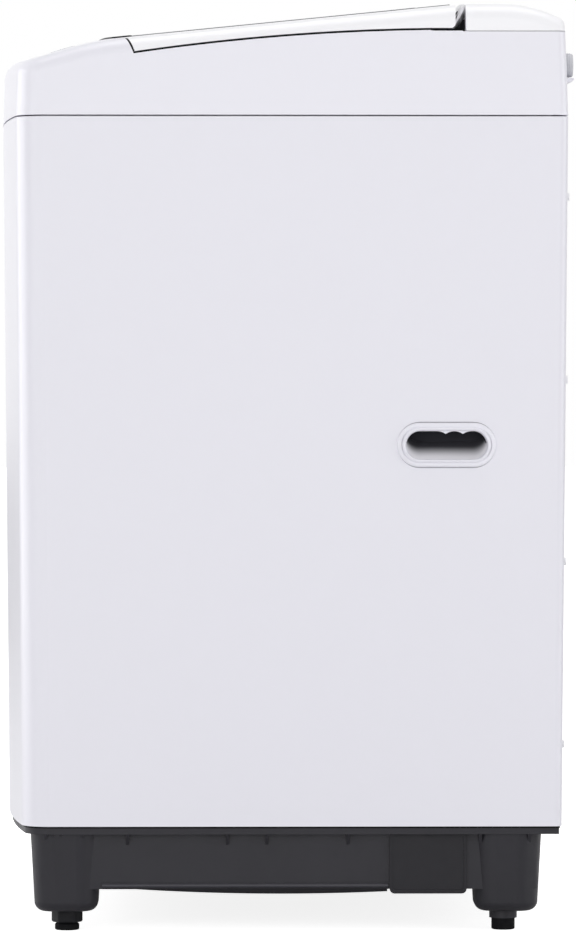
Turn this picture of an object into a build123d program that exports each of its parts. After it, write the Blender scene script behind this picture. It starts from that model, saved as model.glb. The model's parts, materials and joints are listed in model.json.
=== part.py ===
from build123d import *
from math import asin, atan, atan2, cos, degrees, hypot, radians, sin, tan
import os

os.makedirs("parts", exist_ok=True)

# Frame: origin on the floor under the middle of the machine, front towards -Y, +Z up, millimetres

# Case: the front is bowed, and front and rear lean in a little towards the floor
WIDTH = 590
DEPTH = 594
HEIGHT = 960
FRONT_Y = -DEPTH / 2
FRONT_BOW = 27
REAR_Y = 289
CORNER_R = 30
REAR_CORNER_R = 8
LEAN = 6
SEAM_Z = 833
SEAM_GAP = 1.4
CABINET_LOW_Z = 109
SHEET = 1.0
CABINET_FLANGE = 14
CABINET_EDGE_R = 0.8

# Rear panel and what is on it
PANEL_WIDTH = 540
PANEL_LOW_Z = 118
PANEL_HIGH_Z = 824
PANEL_RIB_X = (-150, 0, 150)
PANEL_RIB_LENGTH = 420
PANEL_RIB_WIDTH = 34
PANEL_RIB_HEIGHT = 5
GLAND_X = -205
GLAND_Z = 770
GLAND_R = 8
CORD_R = 4
GLAND_TAIL = 8
GLAND_HEAD = 5
SCREW_R = 4
SCREW_HEAD = 2.2

# Hand grips in the sides
GRIP_Y = 165
GRIP_Z = 497.5
GRIP_LENGTH = 101
GRIP_HEIGHT = 45
GRIP_MOUTH_LENGTH = 82
GRIP_MOUTH_HEIGHT = 28
GRIP_DEPTH = 32
GRIP_WALL = 2
GRIP_BEZEL = 2.6
GRIP_RIM = 4.5
GRIP_STEP = 1.4
SCALLOP_PLACES = (-1, 16.5)
SCALLOP_HALF = 8.7
SCALLOP_DROP = 2.8

# Base frame, legs and feet
FLANGE_LOW_Z = 100.8
FLANGE_INSET = 3
SKIRT_LOW_Z = 44
SKIRT_INSET = 14
SKIRT_Y = (-250, 260)
SKIRT_CORNER_R = 12
SKIRT_WALL = 4
FLOOR_WIDTH = 40
FLANGE_WIDTH = 23
FRONT_PLATE = (420, 26)
UPSTAND_INSET = 16
UPSTAND_HEIGHT = 13
LEG_X = 252
LEG_Y_FRONT = -223
LEG_Y_REAR = 227
LEG_SIZE = 73.3
LEG_DRAFT = 3.2
LEG_FOOT_R = 10
LEG_WALL = 4
LEG_LOW_Z = 20.5
LEG_CORNER_R = 26
FOOT_X = 252
FOOT_Y_FRONT = -222.6
FOOT_Y_REAR = 225
STUD_R = 6
STUD_FIT = 0.08
PAD_R = 12.5
NUT_R = 16.5
NUT_LOW_Z = 8
GUSSET_Y = (-160, -58, -18, 65)
GUSSET_WIDTH = 3
GUSSET_REACH = 9
GUSSET_LOW_Z = 88
LEG_RIB_Y = (-243, -236, -228, -206, 200, 250)
LEG_RIB_LOW_Z = 92
SILL_Y = (-186, 106)
SILL = 0.9
SILL_HIGH_Z = 50.5
PORT_Y = (107.5, 186)
PORT_LOW_Z = 39.5
PORT_MID_Z = 74
PORT_HOLE = (50, 34)
PORT_COVER = 3.6
BELLY = ((-160, 44.5), (-88, 40.8), (105, 41.6))
REAR_PAD_HIGH_Z = 12
REAR_STUD = 16
FRONT_STUD = 50
BOSS_R = 14.2

# Top: a crowned shape that the cover, the lid and the console are cut from
CROWN_R = 2800
FRONT_SLOPE = 16.1
LID_SLOPE = 5.66
LID_BREAK_Y = -194.3
CONSOLE_FLAT_Y = (184, 252)
CONSOLE_FALL = 25
TOP_DRAFT = 2.0
TOP_FILLET = 16
COVER_WALL = 3

# Deck under the lid, and the mouth of the machine
DECK = ((-194, 888.8), (3.6, 912.8), (148, 919.2))
TROUGH_Y = (151, 181)
TROUGH_Z = 918.6
CONSOLE_DECK_Z = 918
MOUTH_HALF_WIDTH = 205
MOUTH_Y = (-138, 146)
MOUTH_R = 95
COLLAR_LOW_Z = 830

SCOOP_Y = -196
SCOOP_LENGTH = 110
SCOOP_WIDTH = 24
SCOOP_LOW_Z = 905

# Lid
LID_FRONT_Y = -192
LID_FRONT_Z = 906
LID_FRONT_R = 1250
LID_FRONT_LEAN = 20
LID_GAP = 2.2
LID_REAR_Y = 174
LID_WALL = 3
GLASS = 4
GLASS_PROUD = 0.9
WINDOW_HALF_WIDTH = 225
WINDOW_Y = (-166, 138)
WINDOW_BOW = 21
WINDOW_LEDGE = 8
HINGE_Y = 163
HINGE_Z = 941
HINGE_X = 170
EAR_WIDTH = 18
EAR_R = 6
NOTCH_GAP = 2.4
PIN_R = 3.98
PIN_FIT = 0.07
CONSOLE_Y = 184.6

# Control panel on the front slope
FASCIA_HALF_WIDTH = 212
FASCIA_FRONT_Y = -267
FASCIA_FRONT_BOW = 13
FASCIA_REAR_Y = -211
FASCIA_REAR_BOW = 19
FASCIA = 2.6
FASCIA_GAP = 0.3
FASCIA_LEDGE = 5
BUTTON_PROUD = 0.8
BUTTON_FIT = 0.25
BUTTON_FOOT = 2.4
BUTTON_FLANGE = 1.8
DISPLAY_X = -13
DISPLAY_LENGTH = 92
DISPLAY_HEIGHT = 26
BOARD_DEPTH = 20
BOARD = (430, 44, 1.6)
ROUND_BUTTONS = {"button_power": (-180, 10), "button_start": (165, 13)}
LONG_BUTTONS = {
    "button_water_level": -145,
    "button_wash": -115,
    "button_rinse": -85,
    "button_spin": 59,
    "button_delay": 89,
    "button_program": 119,
}
LONG_BUTTON = (23, 9)

# Detergent drawer and water inlet
DRAWER_X = (-98, 12)
DRAWER_Z = (864, 906)
DRAWER_REAR_Y = 250
INLET_X = 235
INLET_Z = 887
INLET_R = 12.06
INLET_COLLAR_R = 13.4
INLET_COLLAR_Y = 287
INLET_TIP_Y = DEPTH / 2
INLET_HOSE_Y = 215
INLET_HOSE_Z = 888
INLET_HOSE_R = 7
VALVE_Y = (235, 279)
SENSOR_X = 110
SENSOR_Z = 864
SENSOR_R = 24
SENSOR_Y = (256, 283.6)

# Tub, basket and drive, all about the Z axis
TUB_R = 262
TUB_WALL = 4
TUB_LOW_Z = 196
TUB_HIGH_Z = 800
TUB_FLOOR = 6
TUB_FLOOR_R = 36
TUB_RIM = 6
TUB_MOUTH_R = 222
TUB_COVER_HIGH_Z = 812
HOUSING_Z = (142, 206)
HOUSING_R = (44, 120)
BEARING_Z = (144, 190)
BEARING_WIDTH = 14
BASKET_R = 243.2
BASKET_SHEET = 1.2
BASKET_LOW_Z = 224
RING_Z = (744, 796)
RING_R = (212, 248)
BASE_RIM_Z = 262
HUB_R = 112
SPIN_SHAFT_LOW_Z = 112
FILTER_Z = (340, 560)
FILTER_WIDTH = 92
FILTER_X = 214
FILTER_WALL = 3
FILTER_SLOTS = 6
FILTER_SLOT = (170, 6)
SPIN_SHAFT_R = 16
DRIVE_SHAFT_R = 9
SHAFT_FIT = 0.06
BEARING_R = 26
PULSATOR_R = 182
PULSATOR_LOW_Z = 248
PULSATOR_HIGH_Z = 300
PULSATOR_CAP_R = 26
PULSATOR_CAP = 8
VANES = 6
VANE = (140, 24, 36)
VANE_DRAFT = 14
HUB_Z = (212, 222)
MOTOR_LOW_Z = 96
MOTOR_HIGH_Z = 141
MAGNET_LOW_Z = 114
ROTOR_HUB_R = 30
ROTOR_HUB_Z = 108
ROTOR_FLOOR = 5
ROTOR_WINDOWS = 12
SHAFT_NUT_Z = 88
SHAFT_LOW_Z = 84
SHAFT_IN_PULSATOR = 50
CLUTCH_Z = (118.5, 136)
CLUTCH_R = 28
STATOR_R = 118
STATOR_LOW_Z = 120
STATOR_TEETH = 36
STATOR_SLOT = (36, 7)
ROTOR_R = 134

# Suspension
ROD_X = 238
ROD_Y = 222
ROD_R = 4
LUG_Z = (300, 318)
LUG_R = 22
SPRING_LOW_Z = 222
SPRING_R = (13, 18)
BRACKET_Z = 800
BRACKET_SHEET = 3
BRACKET_INNER_X = 205
BRACKET_LENGTH = 36
BRACKET_DROP = 45
SEAT_R = 18
SEAT_HEIGHT = 7
SEAT_NECK_R = 9.7
ROD_HEAD_R = 9
ROD_HEAD = 8
CAP_R = 20
CAP_HEIGHT = 16

# Drain
DRAIN_X = -140
DRAIN_VALVE_Y = 120
DRAIN_HIGH_Z = 168
DRAIN_LOW_Z = 80
SPIGOT_R = 15
HOSE_R = 18
HOSE_BORE_R = 15
DRAIN_VALVE_LOW_Z = 146
DRAIN_VALVE_R = 26
DRAIN_ARM = 52
DRAIN_HOLE_R = 16
HOSE_END_Y = 234
HOSE_BEND_R = 28
ELBOW_PLATE = (50, 40, 3)
SPIGOT_LENGTH = 28

CROWN_Z = HEIGHT - CROWN_R
SIDES = (1, -1)
SIDE_NAMES = {1: "right", -1: "left"}


def finish(builder, name):
    """Label a finished piece and write it to its file."""
    builder.part.label = name
    export_step(builder.part, f"parts/{name}.step")


def lean_at(z):
    """How far front and rear have leaned in at a height."""
    return LEAN * (SEAM_Z - z) / (SEAM_Z - CABINET_LOW_Z)


def plan_outline(inset, lean=0.0, rear_radius=0.0):
    """Outline of the case seen from above, set in all round."""
    half = WIDTH / 2 - inset
    front = FRONT_Y + inset + lean
    corner = front + FRONT_BOW
    rear = REAR_Y - inset - lean
    with BuildSketch() as outline:
        with BuildLine():
            ThreePointArc((-half, corner), (0, front), (half, corner))
            Polyline((half, corner), (half, rear), (-half, rear), (-half, corner))
        make_face()
        fillet(outline.vertices().group_by(Axis.Y)[0], max(CORNER_R - inset, 6))
        if rear_radius > 0:
            fillet(outline.vertices().group_by(Axis.Y)[-1], rear_radius)
    return outline.sketch


def case_block(inset, low, high):
    """Leaning block of the case between two heights, set in all round."""
    with BuildPart() as block:
        for z in (low, high):
            with BuildSketch(Plane.XY.offset(z)):
                add(plan_outline(inset, lean_at(z), max(REAR_CORNER_R - inset, 2)))
        loft(ruled=True)
    return block.part


def case_ring(outer, inner, low, high, lean=0.0):
    """Upright ring that follows the case outline between two insets."""
    with BuildPart() as ring:
        with BuildSketch(Plane.XY.offset(low)):
            add(plan_outline(outer, lean))
            add(plan_outline(inner, lean), mode=Mode.SUBTRACT)
        extrude(amount=high - low)
    return ring.part


def lid_line_z(y):
    """Height of the lid's top at mid width."""
    return HEIGHT - (CONSOLE_FLAT_Y[0] - y) * tan(radians(LID_SLOPE))


def front_slope_z(y):
    """Height of the control slope at mid width."""
    return lid_line_z(LID_BREAK_Y) - (LID_BREAK_Y - y) * tan(radians(FRONT_SLOPE))


def crowned_block(drop):
    """Everything below the crowned top surface, lowered by a drop."""
    half_turn = 7.5
    ends = (-340, 330)
    low = 760 - CROWN_Z
    axis = Axis((0, 0, CROWN_Z), (0, 1, 0))
    start = Plane(
        origin=(0, 0, CROWN_Z),
        x_dir=(0, 1, 0),
        z_dir=(cos(radians(half_turn)), 0, sin(radians(half_turn))),
    )
    fall = (ends[1] - CONSOLE_FLAT_Y[1]) * tan(radians(CONSOLE_FALL))
    heights = (
        (ends[0], front_slope_z(ends[0])),
        (LID_BREAK_Y, lid_line_z(LID_BREAK_Y)),
        (CONSOLE_FLAT_Y[0], HEIGHT),
        (CONSOLE_FLAT_Y[1], HEIGHT),
        (ends[1], HEIGHT - fall),
    )
    line = [(y, z - CROWN_Z - drop) for y, z in heights]
    with BuildPart() as block:
        with BuildSketch(start):
            with BuildLine():
                FilletPolyline(*line, radius=[250, 300, 130])
                Polyline(line[-1], (ends[1], low), (ends[0], low), line[0])
            make_face()
        revolve(axis=axis, revolution_arc=2 * half_turn)
    return block.part


def top_envelope(inset):
    """Outer shape of the whole top, set in all round."""
    low = SEAM_Z if inset == 0 else SEAM_Z - 20
    crown = crowned_block(inset)
    with BuildPart() as envelope:
        with BuildSketch(Plane.XY.offset(SEAM_Z)):
            add(plan_outline(inset))
        extrude(amount=150, taper=TOP_DRAFT)
        add(crown, mode=Mode.INTERSECT)
        rear = envelope.faces().sort_by(Axis.Y)[-1]
        tops = envelope.faces().filter_by(lambda face: face.normal_at().Z > 0.7)
        walls = envelope.faces().filter_by(lambda face: abs(face.normal_at().Z) < 0.3)
        walls = walls.filter_by(lambda face: not face.is_same(rear))
        fillet(tops.edges() & walls.edges(), TOP_FILLET - inset)
        if inset == 0:
            rear = envelope.faces().sort_by(Axis.Y)[-1]
            fillet(rear.edges().filter_by(lambda edge: edge.center().Z > SEAM_Z + 1), REAR_CORNER_R)
        else:
            with BuildSketch(Plane.XY.offset(low)):
                add(plan_outline(inset))
            extrude(amount=SEAM_Z - low)
    return envelope.part


def lid_sector(margin):
    """Space behind the lid's bowed and leaning front edge, grown by a margin."""
    half_turn = 26
    low, high = 850, 990
    centre_y = LID_FRONT_Y + LID_FRONT_R
    turn = radians(half_turn)
    start = Plane(
        origin=(0, centre_y, 0),
        x_dir=(-sin(turn), -cos(turn), 0),
        z_dir=(-cos(turn), sin(turn), 0),
    )
    lean = tan(radians(LID_FRONT_LEAN))
    reach = [(LID_FRONT_R + margin + (z - LID_FRONT_Z) * lean, z) for z in (low, high)]
    with BuildPart() as sector:
        with BuildSketch(start):
            with BuildLine():
                Polyline((0, low), reach[0], reach[1], (0, high), close=True)
            make_face()
        revolve(axis=Axis((0, centre_y, 0), (0, 0, 1)), revolution_arc=2 * half_turn)
    return sector.part


def above_deck(lift, trough=True):
    """Everything above the deck line, lifted by an amount."""
    front_y, rear_y, high = -240, 330, 1000
    deck = [(y, z + lift) for y, z in DECK]
    with BuildPart() as space:
        with BuildSketch(Plane.YZ):
            with BuildLine():
                Line((front_y, high), (front_y, deck[0][1]))
                Line((front_y, deck[0][1]), deck[0])
                ThreePointArc(*deck)
                if trough:
                    Polyline(
                        deck[2],
                        (TROUGH_Y[0], TROUGH_Z + lift),
                        (TROUGH_Y[1], TROUGH_Z + lift),
                        (TROUGH_Y[1] + 1, CONSOLE_DECK_Z + lift),
                        (rear_y, CONSOLE_DECK_Z + lift),
                        (rear_y, high),
                        (front_y, high),
                    )
                else:
                    Polyline(deck[2], (rear_y, deck[2][1]), (rear_y, high), (front_y, high))
            make_face()
        extrude(amount=WIDTH, both=True)
    return space.part


def lid_well(margin):
    """Space that the lid and the console take out of the cover, grown by a margin."""
    sector = lid_sector(margin)
    with BuildPart() as well:
        add(above_deck(-margin))
        add(sector, mode=Mode.INTERSECT)
    return well.part


def upright_prism(sketch, low=700, high=1000):
    """Prism of a plan sketch between two heights."""
    with BuildPart() as prism:
        with BuildSketch(Plane.XY.offset(low)):
            add(sketch)
        extrude(amount=high - low)
    return prism.part


def window_outline(inset):
    """Lid window seen from above."""
    half = WINDOW_HALF_WIDTH - inset
    front = WINDOW_Y[0] + inset
    rear = WINDOW_Y[1] - inset
    with BuildSketch() as outline:
        with BuildLine():
            ThreePointArc((-half, front), (0, front - WINDOW_BOW), (half, front))
            Polyline((half, front), (half, rear), (-half, rear), (-half, front))
        make_face()
        fillet(outline.vertices(), 32 - inset)
    return outline.sketch


def fascia_outline(inset):
    """Control fascia seen from above, with bowed long edges."""
    half = FASCIA_HALF_WIDTH - inset
    front = FASCIA_FRONT_Y + inset
    rear = FASCIA_REAR_Y - inset
    with BuildSketch() as outline:
        with BuildLine():
            front_end = front + FASCIA_FRONT_BOW
            rear_end = rear + FASCIA_REAR_BOW
            ThreePointArc((-half, front_end), (0, front), (half, front_end))
            Line((half, front_end), (half, rear_end))
            ThreePointArc((half, rear_end), (0, rear), (-half, rear_end))
            Line((-half, rear_end), (-half, front_end))
        make_face()
        fillet(outline.vertices(), 14 - inset)
    return outline.sketch


def mouth_outline(grow):
    """Mouth of the machine seen from above."""
    length = MOUTH_Y[1] - MOUTH_Y[0] + 2 * grow
    with BuildSketch() as outline:
        with Locations((0, (MOUTH_Y[0] + MOUTH_Y[1]) / 2)):
            RectangleRounded(2 * (MOUTH_HALF_WIDTH + grow), length, MOUTH_R + grow)
    return outline.sketch


def scoop_outline(grow):
    """Finger scoop in front of the lid, seen from above."""
    with BuildSketch() as outline:
        with Locations((0, SCOOP_Y)):
            SlotOverall(SCOOP_LENGTH + 2 * grow, SCOOP_WIDTH + 2 * grow)
    return outline.sketch


def panel_plane(x):
    """Plane on the control slope at one place across the fascia, facing out."""
    middle = (FASCIA_FRONT_Y + FASCIA_REAR_Y) / 2
    bow = (FASCIA_FRONT_BOW + FASCIA_REAR_BOW) / 2
    y = middle + bow * (x / FASCIA_HALF_WIDTH) ** 2
    radius = front_slope_z(y) - CROWN_Z
    turn = asin(x / radius)
    slope = radians(FRONT_SLOPE)
    return Plane(
        origin=(x, y, CROWN_Z + radius * cos(turn)),
        x_dir=(cos(turn), 0, -sin(turn)),
        z_dir=(cos(slope) * sin(turn), -sin(slope), cos(slope) * cos(turn)),
    )


def ring_profile(points):
    """Solid of revolution about the Z axis from radius and height points."""
    with BuildPart() as ring:
        with BuildSketch(Plane.XZ):
            with BuildLine():
                Polyline(*points, close=True)
            make_face()
        revolve(axis=Axis.Z)
    return ring.part


def skirt_band(wall, low, high):
    """Upright ring of the base from the skirt's outer face to a wall's thickness inside it."""
    length = SKIRT_Y[1] - SKIRT_Y[0]
    width = WIDTH - 2 * SKIRT_INSET
    inner_r = max(SKIRT_CORNER_R - wall, 2)
    with BuildPart() as band:
        with BuildSketch(Plane.XY.offset(low)):
            with Locations((0, (SKIRT_Y[0] + SKIRT_Y[1]) / 2)):
                RectangleRounded(width, length, SKIRT_CORNER_R)
                RectangleRounded(width - 2 * wall, length - 2 * wall, inner_r, mode=Mode.SUBTRACT)
        extrude(amount=high - low)
    return band.part


def corner_points(x, y):
    """The same place in each of the four corners."""
    return [(sx * x, sy * y) for sx in SIDES for sy in SIDES]


def block_before(y):
    """Large block that ends at a plane across the machine."""
    with BuildPart() as block:
        with BuildSketch(Plane.XY.offset(800)):
            with Locations((0, y - DEPTH / 2)):
                Rectangle(WIDTH + 40, DEPTH)
        extrude(amount=200)
    return block.part


def top_face(builder, plane):
    """Outermost face of a piece along a plane's normal."""
    return builder.faces().sort_by(Axis(plane.origin, plane.z_dir))[-1]


# Cabinet wrap
CABINET_HIGH_Z = SEAM_Z - SEAM_GAP
cabinet_outside = case_block(0, CABINET_LOW_Z, CABINET_HIGH_Z)
cabinet_inside = case_block(SHEET, CABINET_LOW_Z + SHEET, CABINET_HIGH_Z - SHEET)
cabinet_throat = case_block(CABINET_FLANGE, CABINET_LOW_Z - 1, CABINET_HIGH_Z + 1)
with BuildPart() as cabinet_shell:
    add(cabinet_outside)
    add(cabinet_inside, mode=Mode.SUBTRACT)
    add(cabinet_throat, mode=Mode.SUBTRACT)
    with BuildSketch(Plane.XZ.offset(-REAR_Y - 5)):
        with Locations((0, (PANEL_LOW_Z + PANEL_HIGH_Z) / 2)):
            Rectangle(PANEL_WIDTH - 20, PANEL_HIGH_Z - PANEL_LOW_Z - 16)
    extrude(amount=25, mode=Mode.SUBTRACT)
    with BuildSketch(Plane.YZ):
        with Locations((GRIP_Y, GRIP_Z)):
            SlotOverall(GRIP_MOUTH_LENGTH + 2 * GRIP_WALL + 1, GRIP_MOUTH_HEIGHT + 2 * GRIP_WALL + 1)
    extrude(amount=WIDTH, both=True, mode=Mode.SUBTRACT)
    fillet(cabinet_shell.faces().sort_by(Axis.Z)[-1].outer_wire().edges(), CABINET_EDGE_R)
finish(cabinet_shell, "cabinet_shell")

# Rear panel: leaning sheet with three pressed ribs
panel_mid_z = (PANEL_LOW_Z + PANEL_HIGH_Z) / 2
lean_angle = atan(LEAN / (SEAM_Z - CABINET_LOW_Z))
rear_plane = Plane(
    origin=(0, REAR_Y - lean_at(panel_mid_z), panel_mid_z),
    x_dir=(-1, 0, 0),
    z_dir=(0, cos(lean_angle), -sin(lean_angle)),
)
gland_place = (-GLAND_X, GLAND_Z - panel_mid_z)
with BuildPart() as rear_panel:
    with BuildSketch(rear_plane):
        RectangleRounded(PANEL_WIDTH, PANEL_HIGH_Z - PANEL_LOW_Z, 6)
    extrude(amount=SHEET)
    with BuildSketch(rear_plane):
        with Locations(*[(x, -20) for x in PANEL_RIB_X]):
            SlotOverall(PANEL_RIB_LENGTH, PANEL_RIB_WIDTH, rotation=90)
    extrude(amount=PANEL_RIB_HEIGHT)
    with BuildSketch(rear_plane):
        with Locations(*[(x, -20) for x in PANEL_RIB_X]):
            SlotOverall(PANEL_RIB_LENGTH - 2, PANEL_RIB_WIDTH - 2, rotation=90)
    extrude(amount=PANEL_RIB_HEIGHT - SHEET, mode=Mode.SUBTRACT)
    with BuildSketch(rear_plane):
        with Locations(gland_place):
            Circle(GLAND_R + 0.2)
    extrude(amount=SHEET, mode=Mode.SUBTRACT)
finish(rear_panel, "rear_panel")

# Cord gland: a snapped-in bush with the bore for the mains lead
with BuildPart() as cord_gland:
    with BuildSketch(rear_plane.offset(SHEET)):
        with Locations(gland_place):
            Circle(GLAND_R + 4)
    extrude(amount=GLAND_HEAD, taper=12)
    with BuildSketch(rear_plane.offset(-GLAND_TAIL)):
        with Locations(gland_place):
            Circle(GLAND_R)
    extrude(amount=GLAND_TAIL + SHEET)
    with BuildSketch(rear_plane.offset(-GLAND_TAIL - 1)):
        with Locations(gland_place):
            Circle(CORD_R)
    extrude(amount=GLAND_TAIL + GLAND_HEAD + 5, mode=Mode.SUBTRACT)
finish(cord_gland, "cord_gland")

# Case screws: round the rear panel
screw_x = PANEL_WIDTH / 2 - 5
screw_v = (PANEL_HIGH_Z - PANEL_LOW_Z) / 2 - 4
screw_places = [(sx * screw_x, v) for sx in SIDES for v in (-280, -93, 93, 280)]
screw_places += [(u, sv * screw_v) for sv in SIDES for u in (-180, 0, 180)]
with BuildPart() as case_screws:
    with BuildSketch(rear_plane.offset(SHEET)):
        with Locations(*screw_places):
            Circle(SCREW_R)
    extrude(amount=SCREW_HEAD)
    fillet(case_screws.edges().group_by(Axis.Y)[-1], 0.8)
    with BuildSketch(rear_plane.offset(SHEET + SCREW_HEAD)):
        with Locations(*screw_places):
            Rectangle(SCREW_R, 0.9)
            Rectangle(0.9, SCREW_R)
    extrude(amount=-SCREW_HEAD / 2, mode=Mode.SUBTRACT)
finish(case_screws, "case_screws")

# Base frame: flange, skirt, floor rim and four hollow legs
flange_ring = case_ring(FLANGE_INSET, FLANGE_INSET + FLANGE_WIDTH, FLANGE_LOW_Z, CABINET_LOW_Z, LEAN)
upstand_high_z = CABINET_LOW_Z + UPSTAND_HEIGHT
upstand_ring = case_ring(UPSTAND_INSET, UPSTAND_INSET + 3, CABINET_LOW_Z, upstand_high_z, LEAN)
skirt_ring = skirt_band(SKIRT_WALL, SKIRT_LOW_Z, FLANGE_LOW_Z)
floor_ring = skirt_band(FLOOR_WIDTH, SKIRT_LOW_Z, SKIRT_LOW_Z + 4)
leg_places = [(sx * LEG_X, y) for sx in SIDES for y in (LEG_Y_FRONT, LEG_Y_REAR)]
skirt_x = WIDTH / 2 - SKIRT_INSET
skirt_rear_y = SKIRT_Y[1]
with BuildPart() as base_frame:
    add(flange_ring)
    add(upstand_ring)
    add(skirt_ring)
    add(floor_ring)
    # Plate that joins the skirt to the bowed front of the flange
    with BuildSketch(Plane.XY.offset(FLANGE_LOW_Z)):
        with Locations((0, SKIRT_Y[0] + SKIRT_WALL - FRONT_PLATE[1] / 2)):
            Rectangle(*FRONT_PLATE)
    extrude(amount=CABINET_LOW_Z - FLANGE_LOW_Z)
    with BuildSketch(Plane.XY.offset(FLANGE_LOW_Z)):
        with Locations(*leg_places):
            RectangleRounded(LEG_SIZE, LEG_SIZE, LEG_CORNER_R)
    extrude(amount=LEG_LOW_Z - FLANGE_LOW_Z, taper=LEG_DRAFT)
    fillet(base_frame.edges().group_by(Axis.Z)[0], LEG_FOOT_R)
    for sx in SIDES:
        for y in GUSSET_Y:
            with BuildSketch(Plane.XZ.offset(-y - GUSSET_WIDTH / 2)):
                with BuildLine():
                    inner, outer = sx * (skirt_x - 1), sx * (skirt_x + GUSSET_REACH)
                    Polyline((inner, FLANGE_LOW_Z), (outer, FLANGE_LOW_Z), (inner, GUSSET_LOW_Z), close=True)
                make_face()
            extrude(amount=GUSSET_WIDTH)
        for y in LEG_RIB_Y:
            with BuildSketch(Plane.XZ.offset(-y - GUSSET_WIDTH / 2)):
                with BuildLine():
                    inner, outer = sx * (LEG_X + LEG_SIZE / 2 - 4), sx * (skirt_x + GUSSET_REACH)
                    Polyline((inner, FLANGE_LOW_Z), (outer, FLANGE_LOW_Z), (inner, LEG_RIB_LOW_Z), close=True)
                make_face()
            extrude(amount=GUSSET_WIDTH)
        # Sill: a slightly raised band along the foot of the skirt
        with BuildSketch(Plane.YZ.offset(sx * skirt_x)):
            with Locations(((SILL_Y[0] + SILL_Y[1]) / 2, (SKIRT_LOW_Z + SILL_HIGH_Z) / 2)):
                Rectangle(SILL_Y[1] - SILL_Y[0], SILL_HIGH_Z - SKIRT_LOW_Z)
        extrude(amount=sx * SILL)
        # Belly: the skirt's lower edge sags a little between the legs
        with BuildSketch(Plane.YZ.offset(sx * (skirt_x - SKIRT_WALL / 2))):
            with BuildLine():
                Spline(*BELLY)
                Polyline(BELLY[-1], (BELLY[-1][0], BELLY[0][1]), BELLY[0])
            make_face()
        extrude(amount=SKIRT_WALL / 2, both=True)
    with BuildSketch(Plane.XY.offset(CABINET_LOW_Z)):
        with Locations(*leg_places):
            RectangleRounded(LEG_SIZE - 4 * LEG_WALL, LEG_SIZE - 4 * LEG_WALL, LEG_CORNER_R - 6)
    extrude(amount=LEG_LOW_Z + 10 - CABINET_LOW_Z, mode=Mode.SUBTRACT)
    with BuildSketch(Plane.XY.offset(LEG_LOW_Z + 1)):
        with Locations(*[(sx * FOOT_X, FOOT_Y_REAR) for sx in SIDES]):
            Circle(BOSS_R)
    extrude(amount=REAR_PAD_HIGH_Z - LEG_LOW_Z - 1)
    with BuildSketch(Plane.XY.offset(LEG_LOW_Z - 20)):
        with Locations(*[(sx * FOOT_X, y) for sx in SIDES for y in (FOOT_Y_FRONT, FOOT_Y_REAR)]):
            Circle(STUD_R + STUD_FIT)
    extrude(amount=40, mode=Mode.SUBTRACT)
    with BuildSketch(Plane.YZ.offset(skirt_x - SKIRT_WALL - 1)):
        with Locations(((PORT_Y[0] + PORT_Y[1]) / 2, PORT_MID_Z)):
            RectangleRounded(*PORT_HOLE, 6)
    extrude(amount=SKIRT_WALL + 2, mode=Mode.SUBTRACT)
    with BuildSketch(Plane.XZ.offset(-skirt_rear_y - 1)):
        with Locations((DRAIN_X, DRAIN_LOW_Z)):
            Circle(HOSE_R + 0.4)
    extrude(amount=SKIRT_WALL + 2, mode=Mode.SUBTRACT)
finish(base_frame, "base_frame")

# Bottom guard: slotted plate on the floor rim
with BuildPart() as bottom_guard:
    with BuildSketch(Plane.XY.offset(SKIRT_LOW_Z + 4)):
        with Locations((0, -4)):
            Rectangle(420, 478)
        with Locations((0, 2)):
            Rectangle(496, 368)
        with GridLocations(70, 24, 5, 13):
            SlotOverall(52, 10, mode=Mode.SUBTRACT)
    extrude(amount=2)
finish(bottom_guard, "bottom_guard")

# Hose port cover: plate with a raised rim over the side port
port_mid = (PORT_Y[0] + PORT_Y[1]) / 2
port_length = PORT_Y[1] - PORT_Y[0]
port_height = FLANGE_LOW_Z - 0.3 - PORT_LOW_Z
with BuildPart() as hose_port_cover:
    with BuildSketch(Plane.YZ.offset(skirt_x)) as port_sketch:
        with Locations((port_mid, PORT_LOW_Z + port_height / 2)):
            Rectangle(port_length, port_height)
        fillet(port_sketch.vertices().group_by(Axis.Y)[0], 5)
    extrude(amount=PORT_COVER)
    with BuildSketch(Plane.YZ.offset(skirt_x + PORT_COVER)):
        with Locations((port_mid, PORT_LOW_Z + port_height / 2 + 1)):
            RectangleRounded(port_length - 5, port_height - 5, 3)
    extrude(amount=-1.4, mode=Mode.SUBTRACT)
finish(hose_port_cover, "hose_port_cover")

# Feet: front ones screw out of the legs through lock nuts, rear ones are fixed
with BuildPart() as rear_feet:
    with BuildSketch():
        with Locations(*[(sx * FOOT_X, FOOT_Y_REAR) for sx in SIDES]):
            Circle(PAD_R - 0.5)
    extrude(amount=REAR_PAD_HIGH_Z)
    fillet(rear_feet.edges().group_by(Axis.Z)[0], 1.5)
    with BuildSketch(Plane.XY.offset(REAR_PAD_HIGH_Z)):
        with Locations(*[(sx * FOOT_X, FOOT_Y_REAR) for sx in SIDES]):
            Circle(STUD_R)
    extrude(amount=REAR_STUD)
finish(rear_feet, "rear_feet")

with BuildPart() as lock_nuts:
    with BuildSketch(Plane.XY.offset(NUT_LOW_Z)):
        with Locations(*[(sx * FOOT_X, FOOT_Y_FRONT) for sx in SIDES]):
            RegularPolygon(NUT_R, 6, rotation=30)
    extrude(amount=LEG_LOW_Z - NUT_LOW_Z)
    fillet(lock_nuts.edges().filter_by(Axis.Z), 4)
    chamfer(lock_nuts.edges().group_by(Axis.Z)[0], 1.2)
    with BuildSketch(Plane.XY.offset(NUT_LOW_Z)):
        with Locations(*[(sx * FOOT_X, FOOT_Y_FRONT) for sx in SIDES]):
            Circle(STUD_R + STUD_FIT)
    extrude(amount=LEG_LOW_Z - NUT_LOW_Z, mode=Mode.SUBTRACT)
finish(lock_nuts, "lock_nuts")

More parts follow.
